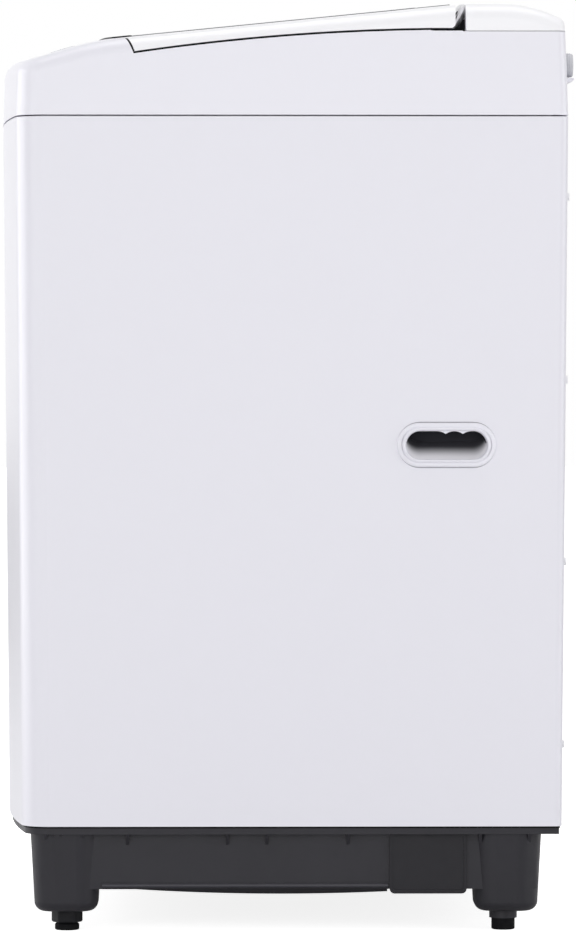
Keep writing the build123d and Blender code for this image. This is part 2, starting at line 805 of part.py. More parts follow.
for sx in SIDES:
    with BuildPart() as front_foot:
        with BuildSketch():
            with Locations((sx * FOOT_X, FOOT_Y_FRONT)):
                Circle(PAD_R)
        extrude(amount=NUT_LOW_Z - 0.3)
        fillet(front_foot.edges().group_by(Axis.Z)[0], 1.5)
        chamfer(front_foot.edges().group_by(Axis.Z)[-1], 2)
        with BuildSketch(Plane.XY.offset(NUT_LOW_Z - 1)):
            with Locations((sx * FOOT_X, FOOT_Y_FRONT)):
                Circle(STUD_R)
        extrude(amount=FRONT_STUD)
    finish(front_foot, f"front_foot_{SIDE_NAMES[sx]}")

# Hand grips: rounded bezel and a pocket with finger scallops along its upper lip
for sx in SIDES:
    side_plane = Plane(origin=(sx * WIDTH / 2, GRIP_Y, GRIP_Z), x_dir=(0, sx, 0), z_dir=(sx, 0, 0))
    with BuildPart() as hand_grip:
        with BuildSketch(side_plane):
            SlotOverall(GRIP_LENGTH, GRIP_HEIGHT)
        extrude(amount=GRIP_BEZEL)
        fillet(hand_grip.edges().group_by(Axis.X)[-1 if sx > 0 else 0], 2.2)
        with BuildSketch(side_plane.offset(GRIP_BEZEL)):
            SlotOverall(GRIP_LENGTH - 2 * GRIP_RIM, GRIP_HEIGHT - 2 * GRIP_RIM)
        extrude(amount=-GRIP_STEP, mode=Mode.SUBTRACT)
        with BuildSketch(side_plane):
            SlotOverall(GRIP_MOUTH_LENGTH + 2 * GRIP_WALL, GRIP_MOUTH_HEIGHT + 2 * GRIP_WALL)
        extrude(amount=-GRIP_DEPTH)
        with BuildSketch(side_plane.offset(-GRIP_DEPTH + GRIP_WALL)):
            SlotOverall(GRIP_MOUTH_LENGTH, GRIP_MOUTH_HEIGHT)
        extrude(amount=GRIP_DEPTH + 1, mode=Mode.SUBTRACT)
        with BuildSketch(side_plane.offset(-8)):
            for u in SCALLOP_PLACES:
                lip = GRIP_MOUTH_HEIGHT / 2
                first, last = sx * (u - SCALLOP_HALF), sx * (u + SCALLOP_HALF)
                point = (sx * u, lip - SCALLOP_DROP)
                with BuildLine():
                    ThreePointArc((first, lip), (sx * (u - 3), lip - 1.2), point)
                    ThreePointArc(point, (sx * (u + 3), lip - 1.2), (last, lip))
                    Polyline((last, lip), (last, lip + 1), (first, lip + 1), (first, lip))
                make_face()
        extrude(amount=9.5)
    finish(hand_grip, f"hand_grip_{SIDE_NAMES[sx]}")

# Top cover
envelope_outside = top_envelope(0)
envelope_inside = top_envelope(COVER_WALL)
well = lid_well(0)
well_wall = lid_well(COVER_WALL)
cover_shelf = case_ring(2, 18, SEAM_Z, SEAM_Z + 3)
cover_lip = case_ring(15, 18, SEAM_Z - 10, SEAM_Z)
crown_top = crowned_block(0)
crown_pad_low = crowned_block(8)
crown_pocket = crowned_block(FASCIA)
pad_prism = upright_prism(fascia_outline(-6))
pocket_prism = upright_prism(fascia_outline(-FASCIA_GAP))
through_prism = upright_prism(fascia_outline(FASCIA_LEDGE))
with BuildPart() as cover_hollow:
    add(envelope_inside)
    add(well_wall, mode=Mode.SUBTRACT)
with BuildPart() as fascia_pad:
    add(pad_prism)
    add(crown_top, mode=Mode.INTERSECT)
    add(crown_pad_low, mode=Mode.SUBTRACT)
with BuildPart() as fascia_pocket:
    add(pocket_prism)
    add(crown_pocket, mode=Mode.SUBTRACT)
# Finger scoop in front of the lid, with its own bowl under the slope
scoop_bowl = upright_prism(scoop_outline(4), SCOOP_LOW_Z - COVER_WALL)
scoop_space = upright_prism(scoop_outline(0), SCOOP_LOW_Z)
with BuildPart() as scoop_pad:
    add(scoop_bowl)
    add(crown_top, mode=Mode.INTERSECT)
with BuildPart() as top_cover:
    add(envelope_outside)
    add(cover_hollow.part, mode=Mode.SUBTRACT)
    add(cover_shelf)
    add(cover_lip)
    add(fascia_pad.part)
    add(scoop_pad.part)
    with BuildSketch(Plane.XY.offset(COLLAR_LOW_Z)):
        add(mouth_outline(COVER_WALL))
    extrude(amount=DECK[2][1] - COLLAR_LOW_Z + 5)
    with BuildSketch(Plane.XY.offset(COLLAR_LOW_Z)):
        add(mouth_outline(0))
    extrude(amount=200, mode=Mode.SUBTRACT)
    add(well, mode=Mode.SUBTRACT)
    add(fascia_pocket.part, mode=Mode.SUBTRACT)
    add(through_prism, mode=Mode.SUBTRACT)
    add(scoop_space, mode=Mode.SUBTRACT)
    # Hinge ears stand in the trough behind the mouth
    with BuildSketch(Plane.YZ):
        with Locations((HINGE_Y, HINGE_Z)):
            Circle(EAR_R)
        with Locations((HINGE_Y, (HINGE_Z + TROUGH_Z) / 2 - 1)):
            Rectangle(2 * EAR_R, HINGE_Z - TROUGH_Z + 2)
        with Locations((HINGE_Y, HINGE_Z)):
            Circle(PIN_R + PIN_FIT, mode=Mode.SUBTRACT)
    ear_profile = extrude(amount=EAR_WIDTH / 2, both=True, mode=Mode.PRIVATE)
    for sx in SIDES:
        add(Pos(sx * HINGE_X, 0, 0) * ear_profile)
    # Window for the detergent drawer in the rear of the collar
    with BuildSketch(Plane.XZ.offset(-MOUTH_Y[1] + 2)):
        with Locations(((DRAWER_X[0] + DRAWER_X[1]) / 2, (DRAWER_Z[0] + DRAWER_Z[1]) / 2)):
            Rectangle(DRAWER_X[1] - DRAWER_X[0] + 1.2, DRAWER_Z[1] - DRAWER_Z[0] + 1.2)
    extrude(amount=-COVER_WALL - 4, mode=Mode.SUBTRACT)
    # Hole for the inlet spigot, and a small lip under it
    with BuildSketch(Plane.XZ.offset(-REAR_Y - 5)):
        with Locations((INLET_X, INLET_Z)):
            Circle(INLET_COLLAR_R + 0.4)
    extrude(amount=20, mode=Mode.SUBTRACT)
    with BuildSketch(Plane.YZ.offset(INLET_X)):
        with BuildLine():
            Polyline((REAR_Y - 4, 866), (REAR_Y + 8, 871), (REAR_Y + 8, 873), (REAR_Y - 4, 873), close=True)
        make_face()
    extrude(amount=20, both=True)
finish(top_cover, "top_cover")

# Lid: hollow frame with a rebate for the glass and bosses for the hinge pins
envelope_liner = top_envelope(LID_WALL + 0.4)
lid_front = lid_sector(-LID_GAP)
lid_front_inside = lid_sector(-LID_GAP - LID_WALL)
lid_front_liner = lid_sector(-LID_GAP - LID_WALL - 0.4)
lid_space = above_deck(LID_GAP, trough=False)
crown_ledge_low = crowned_block(GLASS + 5)
crown_rebate = crowned_block(GLASS + 0.2)
crown_glass_low = crowned_block(GLASS)
crown_glass_top = crowned_block(-GLASS_PROUD)
window_prism = upright_prism(window_outline(0))
window_collar = upright_prism(window_outline(-LID_WALL))
window_through = upright_prism(window_outline(WINDOW_LEDGE))
glass_prism = upright_prism(window_outline(0.4))


lid_length = block_before(LID_REAR_Y)
lid_length_inside = block_before(LID_REAR_Y - LID_WALL)
boss_x = EAR_WIDTH / 2 + 1 + 4
with BuildPart() as lid_hollow:
    add(envelope_inside)
    add(lid_front_inside, mode=Mode.INTERSECT)
    add(lid_length_inside, mode=Mode.INTERSECT)
with BuildPart() as ledge:
    add(window_collar)
    add(crown_top, mode=Mode.INTERSECT)
    add(crown_ledge_low, mode=Mode.SUBTRACT)
with BuildPart() as rebate:
    add(window_prism)
    add(crown_rebate, mode=Mode.SUBTRACT)
with BuildPart() as hinge_bosses:
    with BuildSketch(Plane.XY.offset(HINGE_Z - 8)):
        with Locations(*[(sx * HINGE_X + side * boss_x, (HINGE_Y - 8 + LID_REAR_Y - 1) / 2)
                         for sx in SIDES for side in SIDES]):
            Rectangle(8, LID_REAR_Y - 1 - HINGE_Y + 8)
    extrude(amount=30)
    add(crown_top, mode=Mode.INTERSECT)
with BuildPart() as lid_frame:
    add(envelope_outside)
    add(lid_space, mode=Mode.INTERSECT)
    add(lid_front, mode=Mode.INTERSECT)
    add(lid_length, mode=Mode.INTERSECT)
    rear_low = lid_frame.edges().filter_by(Axis.X).group_by(Axis.Y)[-1].sort_by(Axis.Z)[0]
    fillet(rear_low, 5)
    add(lid_hollow.part, mode=Mode.SUBTRACT)
    add(hinge_bosses.part)
    add(ledge.part)
    add(rebate.part, mode=Mode.SUBTRACT)
    add(window_through, mode=Mode.SUBTRACT)
    for sx in SIDES:
        with BuildSketch(Plane.YZ.offset(sx * HINGE_X)):
            with Locations((HINGE_Y - EAR_R - NOTCH_GAP, HINGE_Z + EAR_R + NOTCH_GAP)):
                Rectangle(60, 60, align=(Align.MIN, Align.MAX))
        extrude(amount=EAR_WIDTH / 2 + 1, both=True, mode=Mode.SUBTRACT)
        with BuildSketch(Plane.YZ.offset(sx * HINGE_X)):
            with Locations((HINGE_Y, HINGE_Z)):
                Circle(PIN_R + 0.02)
        extrude(amount=boss_x + 5, both=True, mode=Mode.SUBTRACT)
finish(lid_frame, "lid_frame")

with BuildPart() as lid_glass:
    add(glass_prism)
    add(crown_glass_top, mode=Mode.INTERSECT)
    add(crown_glass_low, mode=Mode.SUBTRACT)
    glass_top = lid_glass.faces().filter_by(lambda face: face.normal_at().Z > 0.5)
    glass_side = lid_glass.faces().filter_by(lambda face: abs(face.normal_at().Z) < 0.3)
    fillet(glass_top.edges() & glass_side.edges(), GLASS_PROUD / 2)
finish(lid_glass, "lid_glass")

liner_low = above_deck(LID_GAP + 1.2, trough=False)
liner_high = above_deck(LID_GAP + 3.7, trough=False)
liner_length = block_before(LID_REAR_Y - LID_WALL - 3)
with BuildPart() as lid_liner:
    add(liner_low)
    add(liner_high, mode=Mode.SUBTRACT)
    add(envelope_liner, mode=Mode.INTERSECT)
    add(lid_front_liner, mode=Mode.INTERSECT)
    add(liner_length, mode=Mode.INTERSECT)
    add(window_through, mode=Mode.SUBTRACT)
    for sx in SIDES:
        with BuildSketch(Plane.YZ.offset(sx * HINGE_X)):
            with Locations((HINGE_Y - EAR_R - NOTCH_GAP, HINGE_Z)):
                Rectangle(60, 60, align=(Align.MIN, Align.MAX))
        extrude(amount=EAR_WIDTH / 2 + 1, both=True, mode=Mode.SUBTRACT)
finish(lid_liner, "lid_liner")

with BuildPart() as lid_hinge_pins:
    for sx in SIDES:
        with BuildSketch(Plane.YZ.offset(sx * HINGE_X)):
            with Locations((HINGE_Y, HINGE_Z)):
                Circle(PIN_R)
        extrude(amount=boss_x + 4, both=True)
finish(lid_hinge_pins, "lid_hinge_pins")

# Rear console: hollow cap behind the lid
console_front = block_before(CONSOLE_Y)
console_front_inside = block_before(CONSOLE_Y + COVER_WALL)
with BuildPart() as console_hollow:
    add(envelope_inside)
    add(console_front_inside, mode=Mode.SUBTRACT)
with BuildPart() as rear_console:
    add(envelope_outside)
    add(console_front, mode=Mode.SUBTRACT)
    with BuildSketch(Plane.XY.offset(SEAM_Z - 1)):
        Rectangle(WIDTH + 40, 2 * DEPTH)
    extrude(amount=CONSOLE_DECK_Z + 0.6 - SEAM_Z + 1, mode=Mode.SUBTRACT)
    add(console_hollow.part, mode=Mode.SUBTRACT)
    fillet(rear_console.edges().filter_by(Axis.X).group_by(Axis.Y)[0].sort_by(Axis.Z)[-1], 2)
finish(rear_console, "rear_console")

# Control fascia with holes for the buttons and the display
fascia_prism = upright_prism(fascia_outline(0))
with BuildPart() as control_fascia:
    add(fascia_prism)
    add(crown_top, mode=Mode.INTERSECT)
    add(crown_pocket, mode=Mode.SUBTRACT)
    for x, radius in ROUND_BUTTONS.values():
        with BuildSketch(panel_plane(x).offset(-10)):
            Circle(radius + BUTTON_FIT)
        extrude(amount=20, mode=Mode.SUBTRACT)
    for x in LONG_BUTTONS.values():
        with BuildSketch(panel_plane(x).offset(-10)):
            SlotOverall(LONG_BUTTON[0] + 2 * BUTTON_FIT, LONG_BUTTON[1] + 2 * BUTTON_FIT)
        extrude(amount=20, mode=Mode.SUBTRACT)
    with BuildSketch(panel_plane(DISPLAY_X).offset(-10)):
        RectangleRounded(DISPLAY_LENGTH + 0.4, DISPLAY_HEIGHT + 0.4, 4.2)
    extrude(amount=20, mode=Mode.SUBTRACT)
finish(control_fascia, "control_fascia")

with BuildPart() as display_window:
    with BuildSketch(panel_plane(DISPLAY_X).offset(-FASCIA)):
        RectangleRounded(DISPLAY_LENGTH, DISPLAY_HEIGHT, 4)
    extrude(amount=FASCIA + 0.3)
    with BuildSketch(panel_plane(DISPLAY_X).offset(-FASCIA - 3)):
        RectangleRounded(DISPLAY_LENGTH + 6, DISPLAY_HEIGHT + 6, 4)
    extrude(amount=2.4)
    with BuildSketch(panel_plane(DISPLAY_X).offset(-FASCIA - 0.6)):
        RectangleRounded(DISPLAY_LENGTH - 2, DISPLAY_HEIGHT - 2, 3)
    extrude(amount=0.6)
finish(display_window, "display_window")

# Buttons: a cap through the fascia and a flange under it
for name, (x, radius) in ROUND_BUTTONS.items():
    with BuildPart() as button:
        with BuildSketch(panel_plane(x).offset(-FASCIA - BUTTON_FOOT)):
            Circle(radius + BUTTON_FLANGE)
        extrude(amount=2)
        with BuildSketch(panel_plane(x).offset(-FASCIA - BUTTON_FOOT)):
            Circle(radius)
        extrude(amount=FASCIA + BUTTON_FOOT + BUTTON_PROUD)
        fillet(top_face(button, panel_plane(x)).edges(), 0.6)
    finish(button, name)
for name, x in LONG_BUTTONS.items():
    with BuildPart() as button:
        with BuildSketch(panel_plane(x).offset(-FASCIA - BUTTON_FOOT)):
            SlotOverall(LONG_BUTTON[0] + 2 * BUTTON_FLANGE, LONG_BUTTON[1] + 2 * BUTTON_FLANGE)
        extrude(amount=2)
        with BuildSketch(panel_plane(x).offset(-FASCIA - BUTTON_FOOT)):
            SlotOverall(*LONG_BUTTON)
        extrude(amount=FASCIA + BUTTON_FOOT + BUTTON_PROUD)
        fillet(top_face(button, panel_plane(x)).edges(), 0.6)
    finish(button, name)

# Control board hung under the fascia on four pillars
with BuildPart() as control_board:
    with BuildSketch(panel_plane(0).offset(-BOARD_DEPTH)):
        Rectangle(BOARD[0], BOARD[1])
    extrude(amount=-BOARD[2])
    with BuildSketch(panel_plane(0).offset(-BOARD_DEPTH)):
        with GridLocations(2 * 209, 30, 2, 2):
            Circle(3)
    extrude(amount=3.6)
    with BuildSketch(panel_plane(0).offset(-BOARD_DEPTH - BOARD[2])):
        with GridLocations(60, 20, 6, 2):
            Rectangle(18, 10)
    extrude(amount=-9)
finish(control_board, "control_board")

# Detergent drawer, its housing and the water that feeds it
drawer_mid_x = (DRAWER_X[0] + DRAWER_X[1]) / 2
drawer_width = DRAWER_X[1] - DRAWER_X[0]
drawer_height = DRAWER_Z[1] - DRAWER_Z[0]
drawer_length = DRAWER_REAR_Y - MOUTH_Y[1]
with BuildPart() as detergent_drawer:
    with BuildSketch(Plane.XY.offset(DRAWER_Z[0])):
        with Locations((drawer_mid_x, MOUTH_Y[1] + drawer_length / 2)):
            Rectangle(drawer_width, drawer_length)
    extrude(amount=drawer_height)
    with BuildSketch(Plane.XY.offset(DRAWER_Z[1])):
        with Locations((drawer_mid_x, MOUTH_Y[1] + drawer_length / 2 + 1)):
            with GridLocations(drawer_width / 2 - 1.5, 0, 2, 1):
                RectangleRounded(drawer_width / 2 - 4, drawer_length - 8, 6)
    extrude(amount=-drawer_height + 3, mode=Mode.SUBTRACT)
    with BuildSketch(Plane.XZ.offset(-MOUTH_Y[1] + 0.01)):
        with Locations((drawer_mid_x, DRAWER_Z[0] + 10)):
            SlotOverall(60, 11)
    extrude(amount=-2.2, mode=Mode.SUBTRACT)
finish(detergent_drawer, "detergent_drawer")

housing_mid_y = (MOUTH_Y[1] + COVER_WALL + 0.3 + DRAWER_REAR_Y + 4) / 2
housing_length = DRAWER_REAR_Y + 4 - MOUTH_Y[1] - COVER_WALL - 0.3
with BuildPart() as dispenser_housing:
    with BuildSketch(Plane.XY.offset(DRAWER_Z[0] - 3.6)):
        with Locations((drawer_mid_x, housing_mid_y)):
            Rectangle(drawer_width + 7, housing_length)
    extrude(amount=drawer_height + 10)
    with BuildSketch(Plane.XY.offset(DRAWER_Z[0] - 0.6)):
        with Locations((drawer_mid_x, housing_mid_y - 3)):
            Rectangle(drawer_width + 1.4, housing_length)
    extrude(amount=drawer_height + 4, mode=Mode.SUBTRACT)
    with BuildSketch(Plane.YZ.offset(DRAWER_X[1] + 3.4)):
        with Locations((INLET_HOSE_Y, INLET_HOSE_Z)):
            Circle(INLET_HOSE_R)
    extrude(amount=14)
    with BuildSketch(Plane.YZ.offset(DRAWER_X[1] + 0.5)):
        with Locations((INLET_HOSE_Y, INLET_HOSE_Z)):
            Circle(INLET_HOSE_R - 2)
    extrude(amount=18, mode=Mode.SUBTRACT)
finish(dispenser_housing, "dispenser_housing")

with BuildPart() as inlet_valve:
    with BuildSketch(Plane.XZ.offset(-VALVE_Y[0])):
        with Locations((INLET_X, INLET_Z - 4)):
            RectangleRounded(50, 34, 5)
    extrude(amount=VALVE_Y[0] - VALVE_Y[1])
    with BuildSketch(Plane.XZ.offset(-VALVE_Y[1] + 1)):
        with Locations((INLET_X, INLET_Z)):
            Circle(INLET_COLLAR_R)
    extrude(amount=VALVE_Y[1] - 1 - INLET_COLLAR_Y)
    with BuildSketch(Plane.XZ.offset(-VALVE_Y[1] + 1)):
        with Locations((INLET_X, INLET_Z)):
            Circle(INLET_R)
    extrude(amount=VALVE_Y[1] - 1 - INLET_TIP_Y)
    chamfer(inlet_valve.edges().group_by(Axis.Y)[-1], 1.2)
    with BuildSketch(Plane.XZ.offset(-INLET_TIP_Y)):
        with Locations((INLET_X, INLET_Z)):
            Circle(9)
    extrude(amount=16, mode=Mode.SUBTRACT)
    with BuildSketch(Plane.XY.offset(INLET_Z - 20)):
        with Locations((INLET_X, 250)):
            Circle(13)
    extrude(amount=-20)
    with BuildSketch(Plane.YZ.offset(INLET_X)):
        with Locations((INLET_HOSE_Y, INLET_HOSE_Z)):
            Circle(INLET_HOSE_R)
    extrude(amount=-40)
    with BuildSketch(Plane.YZ.offset(INLET_X)):
        with Locations((INLET_HOSE_Y + 12, INLET_HOSE_Z)):
            RectangleRounded(38, 20, 4)
    extrude(amount=12, both=True)
finish(inlet_valve, "inlet_valve")

with BuildPart() as inlet_hose:
    with BuildSketch(Plane.YZ.offset(DRAWER_X[1] + 4)):
        with Locations((INLET_HOSE_Y, INLET_HOSE_Z)):
            Circle(INLET_HOSE_R + 2.5)
            Circle(INLET_HOSE_R + 0.05, mode=Mode.SUBTRACT)
    extrude(amount=INLET_X - 14 - DRAWER_X[1] - 4)
finish(inlet_hose, "inlet_hose")

with BuildPart() as water_level_sensor:
    with BuildSketch(Plane.XZ.offset(-SENSOR_Y[0])):
        with Locations((SENSOR_X, SENSOR_Z)):
            Circle(SENSOR_R)
    extrude(amount=SENSOR_Y[0] - SENSOR_Y[1])
    with BuildSketch(Plane.XZ.offset(-SENSOR_Y[0])):
        with Locations((SENSOR_X, SENSOR_Z)):
            Circle(SENSOR_R / 6)
    extrude(amount=16)
finish(water_level_sensor, "water_level_sensor")

# Suspension: bracket, ball seat, rod, spring and cap in each corner
rod_places = corner_points(ROD_X, ROD_Y)
inner_x = WIDTH / 2 - SHEET
with BuildPart() as suspension_brackets:
    for sx, sy in corner_points(1, 1):
        with BuildSketch(Plane.XY.offset(BRACKET_Z)):
            with Locations((sx * (inner_x + BRACKET_INNER_X) / 2, sy * ROD_Y)):
                Rectangle(inner_x - BRACKET_INNER_X, BRACKET_LENGTH)
            with Locations((sx * ROD_X, sy * ROD_Y)):
                Circle(SEAT_NECK_R + 0.3, mode=Mode.SUBTRACT)
        extrude(amount=BRACKET_SHEET)
        with BuildSketch(Plane.XY.offset(BRACKET_Z - BRACKET_DROP)):
            with Locations((sx * (inner_x - BRACKET_SHEET / 2), sy * ROD_Y)):
                Rectangle(BRACKET_SHEET, BRACKET_LENGTH)
        extrude(amount=BRACKET_DROP + 1)
finish(suspension_brackets, "suspension_brackets")

seat_z = BRACKET_Z + BRACKET_SHEET
rod_head_z = seat_z + SEAT_HEIGHT
with BuildPart() as rod_seats:
    with BuildSketch(Plane.XY.offset(seat_z)):
        with Locations(*rod_places):
            Circle(SEAT_R)
            Circle(ROD_R + 0.5, mode=Mode.SUBTRACT)
    extrude(amount=SEAT_HEIGHT)
    with BuildSketch(Plane.XY.offset(BRACKET_Z - 5)):
        with Locations(*rod_places):
            Circle(SEAT_NECK_R)
            Circle(ROD_R + 0.5, mode=Mode.SUBTRACT)
    extrude(amount=BRACKET_SHEET + 5)
finish(rod_seats, "rod_seats")

with BuildPart() as suspension_rods:
    with BuildSketch(Plane.XY.offset(SPRING_LOW_Z - 20)):
        with Locations(*rod_places):
            Circle(ROD_R)
    extrude(amount=rod_head_z + 2 - SPRING_LOW_Z + 20)
    with BuildSketch(Plane.XY.offset(rod_head_z)):
        with Locations(*rod_places):
            Circle(ROD_HEAD_R)
    extrude(amount=ROD_HEAD)
    fillet(suspension_rods.edges().group_by(Axis.Z)[-1], 3.5)
finish(suspension_rods, "suspension_rods")

with BuildPart() as suspension_caps:
    with BuildSketch(Plane.XY.offset(SPRING_LOW_Z - CAP_HEIGHT)):
        with Locations(*rod_places):
            Circle(CAP_R)
            Circle(ROD_R + 0.02, mode=Mode.SUBTRACT)
    extrude(amount=CAP_HEIGHT)
finish(suspension_caps, "suspension_caps")

with BuildPart() as suspension_springs:
    with BuildSketch(Plane.XY.offset(SPRING_LOW_Z)):
        with Locations(*rod_places):
            Circle(SPRING_R[1])
            Circle(SPRING_R[0], mode=Mode.SUBTRACT)
    extrude(amount=LUG_Z[0] - SPRING_LOW_Z)
finish(suspension_springs, "suspension_springs")

# Outer tub with four lugs, its cover ring, and the bearing housing below
tub_shell = ring_profile([
    (TUB_FLOOR_R, TUB_LOW_Z), (TUB_R, TUB_LOW_Z), (TUB_R, TUB_HIGH_Z - TUB_RIM),
    (TUB_R + TUB_RIM, TUB_HIGH_Z - TUB_RIM), (TUB_R + TUB_RIM, TUB_HIGH_Z), (TUB_R - TUB_WALL, TUB_HIGH_Z),
    (TUB_R - TUB_WALL, TUB_LOW_Z + TUB_FLOOR), (TUB_FLOOR_R, TUB_LOW_Z + TUB_FLOOR),
])
with BuildPart() as outer_tub:
    for x, y in rod_places:
        angle = degrees(atan2(y, x))
        reach = hypot(x, y)
        with BuildSketch(Plane.XY.offset(LUG_Z[0])):
            with Locations(Rot(0, 0, angle) * Pos((reach + TUB_R - 8) / 2, 0, 0)):
                Rectangle(reach - TUB_R + 8, 2 * LUG_R)
            with Locations((x, y)):
                Circle(LUG_R)
            with Locations((x, y)):
                Circle(ROD_R + 4, mode=Mode.SUBTRACT)
        extrude(amount=LUG_Z[1] - LUG_Z[0])
    with BuildSketch(Plane.XY.offset(LUG_Z[0])):
        Circle(TUB_R - 1)
    extrude(amount=LUG_Z[1] - LUG_Z[0], mode=Mode.SUBTRACT)
    add(tub_shell)
    with BuildSketch(Plane.XY.offset(TUB_LOW_Z)):
        with Locations((DRAIN_X, DRAIN_VALVE_Y)):
            Circle(DRAIN_HOLE_R)
    extrude(amount=TUB_FLOOR, mode=Mode.SUBTRACT)
finish(outer_tub, "outer_tub")

cover_low_z = TUB_HIGH_Z + 0.3
with BuildPart() as tub_cover:
    add(ring_profile([
        (TUB_MOUTH_R, cover_low_z + 3), (TUB_MOUTH_R + 8, cover_low_z), (TUB_R + TUB_RIM - 1, cover_low_z),
        (TUB_R + TUB_RIM - 1, cover_low_z + TUB_RIM), (TUB_MOUTH_R + 10, cover_low_z + TUB_RIM),
        (TUB_MOUTH_R + 4, TUB_COVER_HIGH_Z), (TUB_MOUTH_R, TUB_COVER_HIGH_Z),
    ]))
finish(tub_cover, "tub_cover")

shoulder_r = BEARING_R - 6
lower_seat_z = BEARING_Z[0] + BEARING_WIDTH + 2
upper_seat_z = BEARING_Z[1] - 2
with BuildPart() as bearing_housing:
    add(ring_profile([
        (shoulder_r, lower_seat_z), (shoulder_r, upper_seat_z), (BEARING_R, upper_seat_z),
        (BEARING_R, HOUSING_Z[1]), (TUB_FLOOR_R - 1, HOUSING_Z[1]), (TUB_FLOOR_R - 1, TUB_LOW_Z - 0.2),
        (HOUSING_R[1], TUB_LOW_Z - 0.2), (HOUSING_R[1], TUB_LOW_Z - 8), (HOUSING_R[1] / 2, TUB_LOW_Z - 14),
        (HOUSING_R[0], TUB_LOW_Z - 26), (HOUSING_R[0], HOUSING_Z[0]), (BEARING_R, HOUSING_Z[0]),
        (BEARING_R, lower_seat_z),
    ]))
    with BuildSketch(Plane.XY.offset(HOUSING_Z[0])):
        with PolarLocations(HOUSING_R[0] - 5, 6):
            Circle(2.5)
    extrude(amount=12, mode=Mode.SUBTRACT)
finish(bearing_housing, "bearing_housing")

with BuildPart() as shaft_bearings:
    for z in BEARING_Z:
        add(ring_profile([
            (SPIN_SHAFT_R + SHAFT_FIT, z), (BEARING_R - 0.02, z), (BEARING_R - 0.02, z + BEARING_WIDTH),
            (SPIN_SHAFT_R + SHAFT_FIT, z + BEARING_WIDTH),
        ]))
finish(shaft_bearings, "shaft_bearings")

with BuildPart() as stator:
    with BuildSketch(Plane.XY.offset(STATOR_LOW_Z)):
        Circle(STATOR_R)
        Circle(TUB_FLOOR_R, mode=Mode.SUBTRACT)
        with PolarLocations(STATOR_R - 17, STATOR_TEETH):
            Rectangle(*STATOR_SLOT, mode=Mode.SUBTRACT)
    extrude(amount=HOUSING_Z[0] - 0.2 - STATOR_LOW_Z)
finish(stator, "stator")

with BuildPart() as drain_valve:
    with BuildSketch(Plane.XY.offset(DRAIN_VALVE_LOW_Z)):
        with Locations((DRAIN_X, DRAIN_VALVE_Y)):
            Circle(DRAIN_VALVE_R)
    extrude(amount=TUB_LOW_Z - DRAIN_VALVE_LOW_Z)
    with BuildSketch(Plane.XZ.offset(-DRAIN_VALVE_Y)):
        with Locations((DRAIN_X, DRAIN_HIGH_Z)):
            Circle(HOSE_R)
    extrude(amount=-DRAIN_ARM)
    with BuildSketch(Plane.XZ.offset(-DRAIN_VALVE_Y - DRAIN_ARM)):
        with Locations((DRAIN_X, DRAIN_HIGH_Z)):
            Circle(HOSE_BORE_R)
    extrude(amount=DRAIN_ARM, mode=Mode.SUBTRACT)
    with BuildSketch(Plane.XY.offset(TUB_LOW_Z)):
        with Locations((DRAIN_X, DRAIN_VALVE_Y)):
            Circle(DRAIN_HOLE_R)
    extrude(amount=DRAIN_HIGH_Z - TUB_LOW_Z, mode=Mode.SUBTRACT)
finish(drain_valve, "drain_valve")

# Inner drain hose and the elbow that carries the outlet spigot
hose_start_y = DRAIN_VALVE_Y + DRAIN_ARM
hose_drop_y = (hose_start_y + HOSE_END_Y) / 2
with BuildPart() as drain_hose:
    with BuildLine(Plane.YZ.offset(DRAIN_X)) as hose_line:
        FilletPolyline(
            (hose_start_y, DRAIN_HIGH_Z), (hose_drop_y, DRAIN_HIGH_Z),
            (hose_drop_y, DRAIN_LOW_Z), (HOSE_END_Y, DRAIN_LOW_Z), radius=HOSE_BEND_R,
        )
    with BuildSketch(Plane.XZ.offset(-hose_start_y)):
        with Locations((DRAIN_X, DRAIN_HIGH_Z)):
            Circle(HOSE_R)
            Circle(HOSE_BORE_R, mode=Mode.SUBTRACT)
    sweep()
finish(drain_hose, "drain_hose")

with BuildPart() as drain_elbow:
    with BuildSketch(Plane.XZ.offset(-HOSE_END_Y)):
        with Locations((DRAIN_X, DRAIN_LOW_Z)):
            Circle(HOSE_R)
    extrude(amount=-(skirt_rear_y - HOSE_END_Y))
    with BuildSketch(Plane.XZ.offset(-skirt_rear_y)):
        with Locations((DRAIN_X, DRAIN_LOW_Z)):
            RectangleRounded(ELBOW_PLATE[0], ELBOW_PLATE[1], 8)
    extrude(amount=-ELBOW_PLATE[2])
    with BuildSketch(Plane.XZ.offset(-skirt_rear_y)):
        with Locations((DRAIN_X, DRAIN_LOW_Z)):
            Circle(SPIGOT_R)
    extrude(amount=-SPIGOT_LENGTH)
    with BuildSketch(Plane.XZ.offset(-HOSE_END_Y)):
        with Locations((DRAIN_X, DRAIN_LOW_Z)):
            Circle(SPIGOT_R - 2.5)
    extrude(amount=-80, mode=Mode.SUBTRACT)
finish(drain_elbow, "drain_elbow")

# Spin basket, its base, the balance ring and the hub with the hollow spin shaft
with BuildPart() as spin_basket:
    add(ring_profile([
        (BASKET_R - BASKET_SHEET, BASKET_LOW_Z), (BASKET_R, BASKET_LOW_Z), (BASKET_R, RING_Z[0] - 0.2),
        (BASKET_R - BASKET_SHEET, RING_Z[0] - 0.2),
    ]))
finish(spin_basket, "spin_basket")

base_r = BASKET_R - BASKET_SHEET - 0.3
with BuildPart() as basket_base:
    add(ring_profile([
        (20, HUB_Z[1]), (base_r, HUB_Z[1] + 2), (base_r, BASE_RIM_Z), (base_r - 3, BASE_RIM_Z),
        (base_r - 20, BASE_RIM_Z - 12), (PULSATOR_R + 13, BASE_RIM_Z - 18), (20, BASE_RIM_Z - 24),
    ]))
finish(basket_base, "basket_base")

